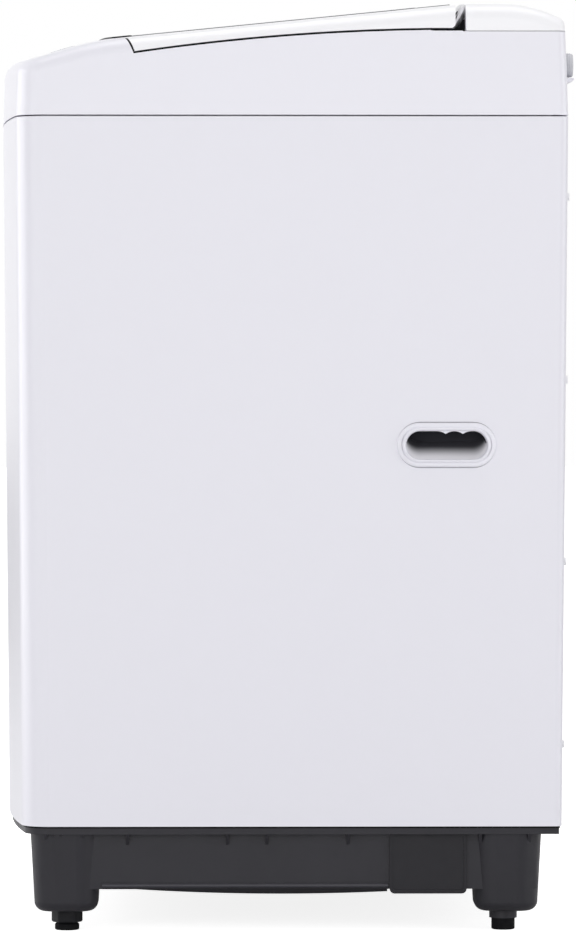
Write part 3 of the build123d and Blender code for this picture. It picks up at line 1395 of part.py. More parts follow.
with BuildPart() as balance_ring:
    add(ring_profile([
        (RING_R[0], RING_Z[0] + 12), (RING_R[0] + 12, RING_Z[0]), (RING_R[1] - 2, RING_Z[0]),
        (RING_R[1], RING_Z[0] + 2), (RING_R[1], RING_Z[1] - 3), (RING_R[1] - 3, RING_Z[1]),
        (RING_R[0] + 8, RING_Z[1]), (RING_R[0], RING_Z[1] - 8),
    ]))
    fillet(balance_ring.edges(), 1.5)
finish(balance_ring, "balance_ring")

with BuildPart() as basket_hub:
    add(ring_profile([
        (DRIVE_SHAFT_R + SHAFT_FIT, SPIN_SHAFT_LOW_Z), (SPIN_SHAFT_R, SPIN_SHAFT_LOW_Z),
        (SPIN_SHAFT_R, HUB_Z[0] - 4), (40, HUB_Z[0]), (HUB_R, HUB_Z[0] + 4), (HUB_R, HUB_Z[1]),
        (DRIVE_SHAFT_R + SHAFT_FIT, HUB_Z[1]),
    ]))
finish(basket_hub, "basket_hub")

# Lint filters: slotted boxes that clip on the basket wall
for sx in SIDES:
    with BuildPart() as lint_filter:
        with BuildSketch(Plane.XY.offset(FILTER_Z[0])):
            Circle(base_r)
            with Locations((sx * (FILTER_X + 16), 0)):
                Rectangle(32, FILTER_WIDTH, mode=Mode.INTERSECT)
        extrude(amount=FILTER_Z[1] - FILTER_Z[0])
        fillet(lint_filter.edges().filter_by(Axis.Z), 3)
        with BuildSketch(Plane.YZ.offset(sx * (FILTER_X - 2))):
            with Locations((0, (FILTER_Z[0] + FILTER_Z[1]) / 2)):
                with GridLocations(13, 0, FILTER_SLOTS, 1):
                    SlotOverall(*FILTER_SLOT, rotation=90)
        extrude(amount=sx * 10, mode=Mode.SUBTRACT)
        with BuildSketch(Plane.XY.offset(FILTER_Z[0] + FILTER_WALL)):
            with Locations((sx * (FILTER_X + FILTER_WALL + 16), 0)):
                Rectangle(32, FILTER_WIDTH - 2 * FILTER_WALL)
        extrude(amount=FILTER_Z[1] - FILTER_Z[0] - 2 * FILTER_WALL, mode=Mode.SUBTRACT)
    finish(lint_filter, f"lint_filter_{SIDE_NAMES[sx]}")

# Pulsator with six vanes, its cap, the drive shaft and the rotor
with BuildPart() as pulsator:
    add(ring_profile([
        (0, PULSATOR_LOW_Z), (PULSATOR_R - 4, PULSATOR_LOW_Z), (PULSATOR_R, PULSATOR_LOW_Z + 4),
        (PULSATOR_R, PULSATOR_LOW_Z + 10), (PULSATOR_R - 4, PULSATOR_LOW_Z + 13),
        (110, PULSATOR_LOW_Z + 14), (60, PULSATOR_LOW_Z + 24), (PULSATOR_CAP_R + 8, PULSATOR_HIGH_Z - 4),
        (PULSATOR_CAP_R + 2, PULSATOR_HIGH_Z), (0, PULSATOR_HIGH_Z),
    ]))
    with BuildSketch(Plane.XY.offset(PULSATOR_LOW_Z + 4)):
        with PolarLocations(PULSATOR_R - 80, VANES):
            SlotOverall(VANE[0], VANE[1])
    extrude(amount=VANE[2], taper=VANE_DRAFT)
    with BuildSketch(Plane.XY.offset(HUB_Z[1] + 4)):
        Circle(17)
    extrude(amount=PULSATOR_LOW_Z - HUB_Z[1] - 4)
    with BuildSketch(Plane.XY.offset(HUB_Z[1])):
        Circle(DRIVE_SHAFT_R)
    extrude(amount=SHAFT_IN_PULSATOR, mode=Mode.SUBTRACT)
finish(pulsator, "pulsator")

with BuildPart() as pulsator_cap:
    add(ring_profile([
        (0, PULSATOR_HIGH_Z), (PULSATOR_CAP_R, PULSATOR_HIGH_Z), (PULSATOR_CAP_R, PULSATOR_HIGH_Z + 3),
        (PULSATOR_CAP_R - 4, PULSATOR_HIGH_Z + PULSATOR_CAP - 1), (0, PULSATOR_HIGH_Z + PULSATOR_CAP),
    ]))
finish(pulsator_cap, "pulsator_cap")

with BuildPart() as drive_shaft:
    with BuildSketch(Plane.XY.offset(SHAFT_LOW_Z)):
        Circle(DRIVE_SHAFT_R)
    extrude(amount=HUB_Z[1] + SHAFT_IN_PULSATOR - SHAFT_LOW_Z)
    with BuildSketch(Plane.XY.offset(SHAFT_NUT_Z)):
        RegularPolygon(SPIN_SHAFT_R, 6)
    extrude(amount=MOTOR_LOW_Z - SHAFT_NUT_Z)
finish(drive_shaft, "drive_shaft")

with BuildPart() as motor_rotor:
    add(ring_profile([
        (DRIVE_SHAFT_R, MOTOR_LOW_Z), (ROTOR_R, MOTOR_LOW_Z), (ROTOR_R, MOTOR_HIGH_Z),
        (STATOR_R + 3, MOTOR_HIGH_Z), (STATOR_R + 3, MAGNET_LOW_Z), (ROTOR_R - 5, MAGNET_LOW_Z),
        (ROTOR_R - 5, MOTOR_LOW_Z + ROTOR_FLOOR), (ROTOR_HUB_R, MOTOR_LOW_Z + ROTOR_FLOOR),
        (ROTOR_HUB_R, ROTOR_HUB_Z), (DRIVE_SHAFT_R, ROTOR_HUB_Z),
    ]))
    with BuildSketch(Plane.XY.offset(MOTOR_LOW_Z)):
        with PolarLocations(80, ROTOR_WINDOWS):
            SlotOverall(50, 14)
    extrude(amount=ROTOR_FLOOR, mode=Mode.SUBTRACT)
finish(motor_rotor, "motor_rotor")

with BuildPart() as clutch_coupling:
    add(ring_profile([
        (SPIN_SHAFT_R + SHAFT_FIT, CLUTCH_Z[0]), (CLUTCH_R, CLUTCH_Z[0]), (CLUTCH_R, CLUTCH_Z[1]),
        (SPIN_SHAFT_R + SHAFT_FIT, CLUTCH_Z[1]),
    ]))
finish(clutch_coupling, "clutch_coupling")
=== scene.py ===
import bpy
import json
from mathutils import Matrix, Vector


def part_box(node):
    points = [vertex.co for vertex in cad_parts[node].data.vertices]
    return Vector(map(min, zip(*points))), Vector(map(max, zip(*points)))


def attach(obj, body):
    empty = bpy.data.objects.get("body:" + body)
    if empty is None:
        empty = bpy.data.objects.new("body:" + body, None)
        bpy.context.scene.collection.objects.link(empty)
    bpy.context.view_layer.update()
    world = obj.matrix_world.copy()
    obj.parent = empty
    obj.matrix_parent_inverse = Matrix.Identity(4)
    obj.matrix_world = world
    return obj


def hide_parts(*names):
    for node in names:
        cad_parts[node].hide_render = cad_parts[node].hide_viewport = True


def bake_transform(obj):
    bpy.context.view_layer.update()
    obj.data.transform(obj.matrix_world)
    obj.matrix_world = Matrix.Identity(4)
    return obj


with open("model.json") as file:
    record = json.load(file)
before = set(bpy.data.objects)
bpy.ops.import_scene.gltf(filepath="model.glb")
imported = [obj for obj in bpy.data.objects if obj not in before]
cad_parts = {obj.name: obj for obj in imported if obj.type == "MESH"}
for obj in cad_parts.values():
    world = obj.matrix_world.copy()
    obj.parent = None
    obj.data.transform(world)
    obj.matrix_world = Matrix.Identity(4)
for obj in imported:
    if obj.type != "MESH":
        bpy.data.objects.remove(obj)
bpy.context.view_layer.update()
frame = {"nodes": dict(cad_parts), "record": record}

import json
import math

import bmesh
import bpy
from mathutils import Matrix, Vector

# Shapes are written in millimetres and scaled by this; materials, lamps and the camera are in metres
MM = 0.001
SIDES = ((1, "right"), (-1, "left"))
scene = bpy.context.scene
nodes = frame["nodes"]

# Camera, fitted to the outline in the photograph: place, yaw and pitch in radians, focal length in pixels
CAMERA_PLACE = (5.316347, -0.060778, 0.553652)
CAMERA_YAW = 0.012812
CAMERA_PITCH = 0.015842
CAMERA_FOCAL = 4939.84
IMAGE_HEIGHT = 936
SENSOR = 24.0
CLIP_END = 100


def add_camera():
    """Camera at the photograph's place and angle."""
    data = bpy.data.cameras.new("camera")
    data.sensor_fit = "VERTICAL"
    data.sensor_height = SENSOR
    data.lens = CAMERA_FOCAL / IMAGE_HEIGHT * SENSOR
    data.clip_end = CLIP_END
    camera = bpy.data.objects.new("camera", data)
    flat = math.cos(CAMERA_PITCH)
    forward = Vector((-math.cos(CAMERA_YAW) * flat, math.sin(CAMERA_YAW) * flat, -math.sin(CAMERA_PITCH)))
    right = Vector((math.sin(CAMERA_YAW), math.cos(CAMERA_YAW), 0))
    up = right.cross(forward)
    turn = Matrix((right, up, -forward)).transposed().to_4x4()
    camera.matrix_world = Matrix.Translation(CAMERA_PLACE) @ turn
    scene.collection.objects.link(camera)
    scene.camera = camera


add_camera()


# Material helpers

def link(tree, source, target):
    """Join two sockets."""
    tree.links.new(source, target)


def shader_tree(name):
    """New material with a principled shader; gives the material, its tree and the shader."""
    material = bpy.data.materials.new(name)
    material.use_nodes = True
    tree = material.node_tree
    shader = next(n for n in tree.nodes if n.type == "BSDF_PRINCIPLED")
    return material, tree, shader


def position(tree, stretch=(1, 1, 1)):
    """Place on the object, in metres, stretched along its axes."""
    place = tree.nodes.new("ShaderNodeTexCoord")
    mapping = tree.nodes.new("ShaderNodeMapping")
    mapping.inputs["Scale"].default_value = stretch
    link(tree, place.outputs["Object"], mapping.inputs["Vector"])
    return mapping.outputs["Vector"]


def axes(tree):
    """Place on the object, split into its X, Y and Z."""
    split = tree.nodes.new("ShaderNodeSeparateXYZ")
    link(tree, position(tree), split.inputs["Vector"])
    return split.outputs


def math_node(tree, kind, first, second=None):
    """Result of a sum on one or two values, each a socket or a number."""
    node = tree.nodes.new("ShaderNodeMath")
    node.operation = kind
    for socket, value in zip(node.inputs, (first, second)):
        if value is None:
            continue
        if isinstance(value, (int, float)):
            socket.default_value = value
        else:
            link(tree, value, socket)
    return node.outputs["Value"]


def noise(tree, scale, detail=4.0, roughness=0.55, stretch=(1, 1, 1)):
    """Noise value of a given number of waves to the metre."""
    node = tree.nodes.new("ShaderNodeTexNoise")
    node.inputs["Scale"].default_value = scale
    node.inputs["Detail"].default_value = detail
    node.inputs["Roughness"].default_value = roughness
    link(tree, position(tree, stretch), node.inputs["Vector"])
    return node.outputs["Fac"]


def between(tree, value, low, high, start=0.3, end=0.7):
    """Value spread between two numbers."""
    node = tree.nodes.new("ShaderNodeMapRange")
    node.inputs["From Min"].default_value = start
    node.inputs["From Max"].default_value = end
    node.inputs["To Min"].default_value = low
    node.inputs["To Max"].default_value = high
    link(tree, value, node.inputs["Value"])
    return node.outputs["Result"]


def two_colours(tree, value, first, second, start=0.3, end=0.7, ease="LINEAR"):
    """Colour that goes from one to another as a value rises."""
    ramp = tree.nodes.new("ShaderNodeValToRGB")
    ramp.color_ramp.interpolation = ease
    ramp.color_ramp.elements[0].position = start
    ramp.color_ramp.elements[0].color = (*first, 1)
    ramp.color_ramp.elements[1].position = end
    ramp.color_ramp.elements[1].color = (*second, 1)
    link(tree, value, ramp.inputs["Fac"])
    return ramp.outputs["Color"]


def bump(tree, shader, grain, detail=4.0, stretch=(1, 1, 1)):
    """Fine relief on a shader, from a grain of (waves to the metre, strength, depth in millimetres)."""
    waves, strength, depth = grain
    node = tree.nodes.new("ShaderNodeBump")
    node.inputs["Strength"].default_value = strength
    node.inputs["Distance"].default_value = depth * MM
    link(tree, noise(tree, waves, detail, stretch=stretch), node.inputs["Height"])
    link(tree, node.outputs["Normal"], shader.inputs["Normal"])


def shade(colour, factor):
    """Colour made lighter or darker."""
    return tuple(min(1.0, c * factor) for c in colour)


# Kinds of material

COAT_ROUGHNESS = 0.34


def surface(name, colour, vary, waves, rough, rough_waves, grain=None, metal=0.0, coat=0.0,
            stretch=(1, 1, 1), shine=0.5):
    """Surface with broad colour change, uneven gloss and a fine grain."""
    material, tree, shader = shader_tree(name)
    tone = noise(tree, waves, stretch=stretch)
    colours = two_colours(tree, tone, shade(colour, 1 - vary), shade(colour, 1 + vary))
    link(tree, colours, shader.inputs["Base Color"])
    gloss = noise(tree, rough_waves, detail=6.0, stretch=stretch)
    link(tree, between(tree, gloss, *rough), shader.inputs["Roughness"])
    shader.inputs["Metallic"].default_value = metal
    shader.inputs["Specular IOR Level"].default_value = shine
    if coat:
        shader.inputs["Coat Weight"].default_value = coat
        shader.inputs["Coat Roughness"].default_value = COAT_ROUGHNESS
    if grain:
        bump(tree, shader, grain, detail=3.0, stretch=stretch)
    return material


ZINC_CRYSTALS = 85
ZINC_SHADES = (0.93, 1.05)
ZINC_ROUGH = (0.34, 0.5)
ZINC_METAL = 0.9
ZINC_GRAIN = (400, 0.08, 0.1)


def galvanised(name, colour):
    """Zinc coated sheet with large crystals of differing brightness."""
    material, tree, shader = shader_tree(name)
    cells = tree.nodes.new("ShaderNodeTexVoronoi")
    cells.inputs["Scale"].default_value = ZINC_CRYSTALS
    link(tree, position(tree), cells.inputs["Vector"])
    split = tree.nodes.new("ShaderNodeSeparateColor")
    link(tree, cells.outputs["Color"], split.inputs["Color"])
    dull, bright = [shade(colour, factor) for factor in ZINC_SHADES]
    link(tree, two_colours(tree, split.outputs["Red"], dull, bright, 0, 1), shader.inputs["Base Color"])
    link(tree, between(tree, split.outputs["Green"], *ZINC_ROUGH, 0, 1), shader.inputs["Roughness"])
    shader.inputs["Metallic"].default_value = ZINC_METAL
    bump(tree, shader, ZINC_GRAIN)
    return material


# Clear part of the lid's pane, with its printed border and the dots on the border's inner edge, in metres
PANE_HALF_WIDTH = 0.225
PANE_FRONT_Y, PANE_FRONT_BOW = -0.187, 0.415
PANE_REAR_Y = 0.138
PRINT_EDGE = (0.030, 0.0305)
DOTS_PER_METRE, DOT_REACH = 260, 0.012
FLAT = (1, 1, 0.001)
PANE_WAVES, PANE_SHADES = 3.0, (0.94, 1.06)
GLASS_WAVES, GLASS_ROUGH = 25, (0.02, 0.06)
GLASS_IOR = 1.5


def tinted_glass(name, colour, border_colour):
    """Tinted pane with a dark printed border that breaks up into dots on its inner edge."""
    material, tree, shader = shader_tree(name)
    place = axes(tree)
    side = math_node(tree, "SUBTRACT", PANE_HALF_WIDTH, math_node(tree, "ABSOLUTE", place["X"]))
    bow = math_node(tree, "MULTIPLY", math_node(tree, "MULTIPLY", place["X"], place["X"]), PANE_FRONT_BOW)
    front = math_node(tree, "SUBTRACT", place["Y"], math_node(tree, "ADD", bow, PANE_FRONT_Y))
    rear = math_node(tree, "SUBTRACT", PANE_REAR_Y, place["Y"])
    inside = math_node(tree, "MINIMUM", side, math_node(tree, "MINIMUM", front, rear))
    dots = tree.nodes.new("ShaderNodeTexVoronoi")
    dots.inputs["Scale"].default_value = DOTS_PER_METRE
    dots.inputs["Randomness"].default_value = 0.0
    link(tree, position(tree, FLAT), dots.inputs["Vector"])
    reach = math_node(tree, "ADD", inside, math_node(tree, "MULTIPLY", dots.outputs["Distance"], DOT_REACH))
    border = between(tree, reach, 1.0, 0.0, *PRINT_EDGE)
    dark, light = [shade(colour, factor) for factor in PANE_SHADES]
    pane = two_colours(tree, noise(tree, PANE_WAVES), dark, light)
    mix = tree.nodes.new("ShaderNodeMix")
    mix.data_type = "RGBA"
    link(tree, border, mix.inputs["Factor"])
    link(tree, pane, mix.inputs["A"])
    mix.inputs["B"].default_value = (*border_colour, 1)
    link(tree, mix.outputs["Result"], shader.inputs["Base Color"])
    link(tree, between(tree, border, 1.0, 0.0, 0, 1), shader.inputs["Transmission Weight"])
    link(tree, between(tree, noise(tree, GLASS_WAVES), *GLASS_ROUGH), shader.inputs["Roughness"])
    shader.inputs["IOR"].default_value = GLASS_IOR
    return material


FILM_LINES, FILM_STRETCH = 420, (0.02, 1, 0.0)
FILM_WAVES, FILM_ROUGH = 700, (0.27, 0.33)
FILM_METAL, FILM_COAT = 0.25, 0.35


def printed_film(name, colour, line_colour):
    """Satin film with fine lines across it, as on a brushed control panel."""
    material, tree, shader = shader_tree(name)
    lines = noise(tree, FILM_LINES, detail=1.0, stretch=FILM_STRETCH)
    link(tree, two_colours(tree, lines, colour, line_colour), shader.inputs["Base Color"])
    link(tree, between(tree, noise(tree, FILM_WAVES), *FILM_ROUGH), shader.inputs["Roughness"])
    shader.inputs["Metallic"].default_value = FILM_METAL
    shader.inputs["Coat Weight"].default_value = FILM_COAT
    return material


FADE_WAVES, FADE_ROUGH = 120, (0.4, 0.55)
FADE_SHINE = 0.2
FADE_GRAIN = (1300, 0.2, 0.08)


def plastic_with_painted_shade(name, first, second, near, deep):
    """Plastic with painted shade: darker further in from the machine's sides, with a fine grain."""
    material, tree, shader = shader_tree(name)
    depth = between(tree, math_node(tree, "ABSOLUTE", axes(tree)["X"]), 0, 1, near, deep)
    link(tree, two_colours(tree, depth, first, second, 0, 1, "EASE"), shader.inputs["Base Color"])
    link(tree, between(tree, noise(tree, FADE_WAVES), *FADE_ROUGH), shader.inputs["Roughness"])
    shader.inputs["Specular IOR Level"].default_value = FADE_SHINE
    bump(tree, shader, FADE_GRAIN)
    return material


# Looks

WHITE = (0.800, 0.793, 0.858)
COVER_WHITE = (0.822, 0.815, 0.880)
# Lighter copy of the plastic white: painted light on the lid frame, rear console and drip edge, and on the
# case screws
PAINTED_LIGHT_WHITE = (0.925, 0.922, 0.950)
DARK = (0.0180, 0.0172, 0.0225)

# Plain surfaces: colour, its change and its waves to the metre, range of roughness and its waves, grain of
# (waves, strength, depth), and any other values for surface()
SURFACES = {
    "white_paint": (WHITE, 0.003, 1.2, (0.28, 0.295), 14, (520, 0.02, 0.04), {"coat": 0.25}),
    "white_plastic": (COVER_WHITE, 0.003, 1.5, (0.295, 0.31), 16, (700, 0.02, 0.04), {"coat": 0.2}),
    # Lighter white: painted light
    "painted_light_white": (PAINTED_LIGHT_WHITE, 0.003, 1.5, (0.275, 0.29), 16, (700, 0.012, 0.04), {"coat": 0.2}),
    "dark_plastic": (DARK, 0.09, 9, (0.36, 0.48), 70, (1500, 0.35, 0.12), {"shine": 0.3}),
    "port_dark": (shade(DARK, 0.72), 0.09, 9, (0.40, 0.52), 70, (1500, 0.35, 0.12), {"shine": 0.25}),
    # Darker copy of the dark plastic: painted shade on the base's under-edge and bottom guard
    "belly_painted_shade": (shade(DARK, 0.5), 0.09, 9, (0.45, 0.6), 70, (1500, 0.35, 0.12), {"shine": 0.2}),
    # Lighter copy of the dark plastic: painted highlight on the sill bead
    "bead_painted_highlight": (shade(DARK, 1.7), 0.09, 9, (0.30, 0.42), 70, (1500, 0.2, 0.12), {"shine": 0.4}),
    "black_rubber": ((0.006, 0.006, 0.007), 0.2, 60, (0.55, 0.8), 200, (900, 0.4, 0.15), {"shine": 0.1}),
    "black_plastic": ((0.009, 0.009, 0.011), 0.1, 40, (0.4, 0.55), 120, (1400, 0.3, 0.1), {"shine": 0.15}),
    # Near-black plastic for the sheet inside the grip pockets: painted shade
    "pocket_sheet_painted_shade": ((0.034, 0.034, 0.042), 0.1, 30, (0.5, 0.7), 120, (1300, 0.2, 0.08), {"shine": 0.1}),
    # Grey for the band round each grip: painted shadow line
    "edge_line_painted_shade": ((0.36, 0.355, 0.39), 0.05, 60, (0.5, 0.65), 150, (1200, 0.2, 0.08), {"shine": 0.2}),
    "display": ((0.008, 0.009, 0.012), 0.15, 20, (0.05, 0.10), 40, None, {"coat": 0.6}),
    "button_grey": ((0.66, 0.67, 0.70), 0.02, 60, (0.28, 0.38), 150, (1500, 0.1, 0.05), {}),
    "button_bright": ((0.74, 0.75, 0.79), 0.02, 60, (0.22, 0.32), 150, (1500, 0.1, 0.05), {}),
    "circuit_board": ((0.03, 0.16, 0.07), 0.15, 200, (0.3, 0.45), 300, (800, 0.3, 0.2), {}),
    "grey_plastic": ((0.62, 0.63, 0.66), 0.02, 12, (0.38, 0.5), 60, (1300, 0.2, 0.08), {}),
    "valve_plastic": ((0.62, 0.625, 0.66), 0.03, 20, (0.36, 0.48), 90, (1200, 0.25, 0.1), {}),
    "steel": ((0.55, 0.55, 0.56), 0.06, 90, (0.25, 0.4), 300, (1500, 0.15, 0.05),
              {"metal": 1.0, "stretch": (1, 1, 0.05)}),
    "tub_plastic": ((0.66, 0.66, 0.66), 0.03, 8, (0.42, 0.55), 50, (900, 0.25, 0.12), {}),
    "cast_metal": ((0.56, 0.56, 0.57), 0.08, 60, (0.45, 0.62), 150, (500, 0.5, 0.3), {"metal": 0.9}),
    "motor": ((0.16, 0.17, 0.19), 0.1, 30, (0.4, 0.55), 90, (900, 0.3, 0.15), {}),
    "clutch_plastic": ((0.68, 0.67, 0.62), 0.04, 60, (0.4, 0.5), 120, (1200, 0.2, 0.08), {}),
    "stainless": ((0.66, 0.66, 0.67), 0.05, 40, (0.20, 0.34), 260, (700, 0.12, 0.05),
                  {"metal": 1.0, "stretch": (0.06, 0.06, 1)}),
    "basket_plastic": ((0.66, 0.69, 0.75), 0.02, 10, (0.26, 0.36), 60, (1100, 0.12, 0.06), {}),
    "ring_plastic": ((0.62, 0.64, 0.68), 0.02, 10, (0.28, 0.4), 60, (1100, 0.12, 0.06), {}),
    "ink_light": ((0.80, 0.81, 0.84), 0.03, 300, (0.4, 0.5), 400, None, {}),
    "ink_dark": ((0.06, 0.062, 0.07), 0.08, 300, (0.4, 0.5), 400, None, {}),
    "lamp_dot": ((0.25, 0.55, 0.62), 0.08, 300, (0.15, 0.25), 300, None, {"coat": 0.5}),
}
# Distances from the middle where the pocket floor's painted shade begins and where it is darkest, in metres
POCKET_SHADE_REACH = (0.2928, 0.2728)

looks = {look: surface(look, *row[:-1], **row[-1]) for look, row in SURFACES.items()}
looks["galvanised"] = galvanised("galvanised", (0.60, 0.61, 0.63))
looks["fascia_film"] = printed_film("fascia_film", (0.40, 0.41, 0.44), (0.43, 0.44, 0.47))
looks["lid_glass"] = tinted_glass("lid_glass", (0.50, 0.53, 0.56), (0.16, 0.165, 0.18))
looks["pocket_floor_painted_shade"] = plastic_with_painted_shade("pocket_floor_painted_shade", (0.95, 0.94, 0.98), (0.06, 0.06, 0.07), *POCKET_SHADE_REACH)

# Nodes whose look isn't that of their slot; the lighter white is painted light, and the belly's darker
# plastic is painted shade
OWN_LOOKS = {
    "lid_frame": "painted_light_white", "rear_console": "painted_light_white", "case_screws": "painted_light_white",
    "hose_port_cover": "port_dark", "bottom_guard": "belly_painted_shade",
}
for subpart in frame["record"]["subparts"]:
    node_name = subpart["node"]
    for place in nodes[node_name].material_slots:
        place.material = looks[OWN_LOOKS.get(node_name, subpart["material_slot"])]


# Mesh helpers

def vertex(builder, x, y, z):
    """New corner at a place in millimetres."""
    return builder.verts.new(Vector((x, y, z)) * MM)


def skin(builder, rings, ends=False):
    """Faces between rings in turn, back to the first or with both ends filled."""
    count = len(rings[0])
    following = rings[1:] if ends else rings[1:] + rings[:1]
    for one, two in zip(rings, following):
        for k in range(count):
            m = (k + 1) % count
            builder.faces.new((one[k], one[m], two[m], two[k]))
    if ends:
        builder.faces.new(rings[0])
        builder.faces.new(rings[-1][::-1])


def finished_mesh(name, builder):
    """Mesh of a filled bmesh, with its faces turned outward."""
    mesh = bpy.data.meshes.new(name)
    bmesh.ops.recalc_face_normals(builder, faces=builder.faces)
    builder.to_mesh(mesh)
    builder.free()
    return mesh


def add_object(name, mesh, look):
    """Object of a mesh with one look."""
    mesh.materials.clear()
    mesh.materials.append(looks[look])
    piece = bpy.data.objects.new(name, mesh)
    scene.collection.objects.link(piece)
    return piece


def new_piece(name, builder, body, slot, look=None):
    """Piece from a filled bmesh that rides a body; its look is its slot's, unless one is named."""
    piece = add_object(name, finished_mesh(name, builder), look or slot)
    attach(piece, body)
    return piece


def shade_smooth(piece, angle=35):
    """Smooth faces with sharp edges kept above an angle."""
    mesh = piece.data
    for face in mesh.polygons:
        face.use_smooth = True
    limit = math.radians(angle)
    builder = bmesh.new()
    builder.from_mesh(mesh)
    for edge in builder.edges:
        edge.smooth = len(edge.link_faces) == 2 and edge.calc_face_angle(0) < limit
    builder.to_mesh(mesh)
    builder.free()


# Spin basket: perforated sheet in place of the plain drum, in metres
BASKET_COLUMNS, BASKET_ROWS = 104, 34
BASKET_HOLE_R, BASKET_SHEET = 2.6 * MM, 1.2 * MM
HOLE_SIDES, HOLE_START = 8, -112.5


def perforated_drum(radius, low, high, columns, rows, hole):
    """Drum sheet with a staggered pattern of round holes."""
    builder = bmesh.new()
    height = (high - low) / rows

    def on_drum(u, v):
        turn = 2 * math.pi * u / columns
        return builder.verts.new((radius * math.cos(turn), radius * math.sin(turn), low + v * height))

    corners = [[on_drum(i, j) for i in range(columns)] for j in range(rows + 1)]
    across = 2 * math.pi * radius / columns
    for j in range(rows):
        for i in range(columns):
            k = (i + 1) % columns
            cell = [corners[j][i], corners[j][k], corners[j + 1][k], corners[j + 1][i]]
            if (i + j) % 2 or j == 0 or j == rows - 1:
                builder.faces.new(cell)
                continue
            rim = []
            for n in range(HOLE_SIDES):
                turn = math.radians(HOLE_START + 360 / HOLE_SIDES * n)
                u = i + 0.5 + hole * math.cos(turn) / across
                rim.append(on_drum(u, j + 0.5 + hole * math.sin(turn) / height))
            for n in range(4):
                builder.faces.new((cell[n], cell[(n + 1) % 4], rim[2 * n + 1], rim[2 * n]))
                builder.faces.new((cell[(n + 1) % 4], rim[(2 * n + 2) % HOLE_SIDES], rim[2 * n + 1]))
    return builder


drum_low, drum_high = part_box("spin_basket")
drum = perforated_drum(drum_high[0], drum_low[2], drum_high[2], BASKET_COLUMNS, BASKET_ROWS, BASKET_HOLE_R)
basket = new_piece("perforated_basket", drum, "basket", "stainless")
sheet = basket.modifiers.new("sheet", "SOLIDIFY")
sheet.thickness = BASKET_SHEET
sheet.offset = -1
shade_smooth(basket)
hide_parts("spin_basket")


# Suspension springs: coils wound about the four rods, and a copy of the drain hose, both fixed where they
# stand
ROD_X, ROD_Y = 238, 222
SPRING_LOW, SPRING_HIGH = 222, 300
COIL_R, WIRE_R, COIL_TURNS = 15.5, 2.0, 7.5
COIL_STEPS, WIRE_SIDES, WIRE_ANGLE = 18, 6, 70
HOSE_STRETCH = (98, 150)


def coil_springs():
    """Round wire wound about each of the four rods."""
    builder = bmesh.new()
    steps = int(COIL_TURNS * COIL_STEPS)
    rise = SPRING_HIGH - SPRING_LOW - 2 * WIRE_R
    for rod_x, rod_y in ((ROD_X, ROD_Y), (ROD_X, -ROD_Y), (-ROD_X, ROD_Y), (-ROD_X, -ROD_Y)):
        rings = []
        for n in range(steps + 1):
            turn = 2 * math.pi * n / COIL_STEPS
            middle = SPRING_LOW + WIRE_R + rise * n / steps
            ring = []
            for k in range(WIRE_SIDES):
                around = 2 * math.pi * k / WIRE_SIDES
                reach = COIL_R + WIRE_R * math.cos(around)
                ring.append(vertex(builder, rod_x + reach * math.cos(turn), rod_y + reach * math.sin(turn),
                                   middle + WIRE_R * math.sin(around)))
            rings.append(ring)
        skin(builder, rings, ends=True)
    return builder


def soft_piece(name, mesh, slot, node, start, end):
    """Piece in a node's place, fixed where it stands, with the node hidden; start and end are not used."""
    piece = add_object(name, mesh, slot)
    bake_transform(piece)
    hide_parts(node)
    return piece


coils = finished_mesh("coil_springs", coil_springs())
coils = soft_piece("coil_springs", coils, "steel", "suspension_springs", SPRING_LOW, SPRING_HIGH)
shade_smooth(coils, WIRE_ANGLE)
soft_piece("soft_drain_hose", nodes["drain_hose"].data.copy(), "black_rubber", "drain_hose", *HOSE_STRETCH)


# Crowned top of the machine: the lid's slope, and the control slope in front of it
TOP_Z, TOP_Y, BEND_Y = 960, 184, -194.3
SLOPE = math.radians(16.1)
LID_SLOPE = math.tan(math.radians(5.66))
CROWN_R = 2800
CROWN_Z = TOP_Z - CROWN_R


def middle_z(y):
    """Height of the top along the machine's middle."""
    if y < BEND_Y:
        return TOP_Z - (TOP_Y - BEND_Y) * LID_SLOPE - (BEND_Y - y) * math.tan(SLOPE)
    return TOP_Z - (TOP_Y - y) * LID_SLOPE


def lid_top(x, y):
    """Height of the lid's top surface."""
    radius = middle_z(y) - CROWN_Z
    return CROWN_Z + math.sqrt(radius ** 2 - x ** 2)


# Control panel marks: strokes on the fascia's own planes
PANEL_MID_Y = -239
PANEL_BOW = 16
PANEL_HALF_WIDTH = 212
BUTTON_PROUD, LAMP_PROUD, DISPLAY_PROUD = 0.8, 0.02, 0.3
INK = 0.12


def panel_frame(x):
    """Place on the control slope at one distance across, in metres."""
    y = PANEL_MID_Y + PANEL_BOW * (x / PANEL_HALF_WIDTH) ** 2
    radius = middle_z(y) - CROWN_Z
    turn = math.asin(x / radius)
    across = Vector((math.cos(turn), 0, -math.sin(turn)))
    out = Vector((math.cos(SLOPE) * math.sin(turn), -math.sin(SLOPE), math.cos(SLOPE) * math.cos(turn)))
    up = out.cross(across)
    place = Vector((x, y, CROWN_Z + radius * math.cos(turn))) * MM
    return Matrix.Translation(place) @ Matrix((across, up, out)).transposed().to_4x4()


def placed(builder, points, height, place):
    """Corners at points of a plane, in millimetres, at one height above it."""
    return [builder.verts.new(place @ Vector((u * MM, v * MM, height * MM))) for u, v in points]


def add_prism(builder, outline, low, place):
    """Thin flat prism of an outline."""
    bottom = placed(builder, outline, low, place)
    top = placed(builder, outline, low + INK, place)
    count = len(outline)
    builder.faces.new(top)
    builder.faces.new(bottom[::-1])
    for n in range(count):
        k = (n + 1) % count
        builder.faces.new((bottom[n], bottom[k], top[k], top[n]))


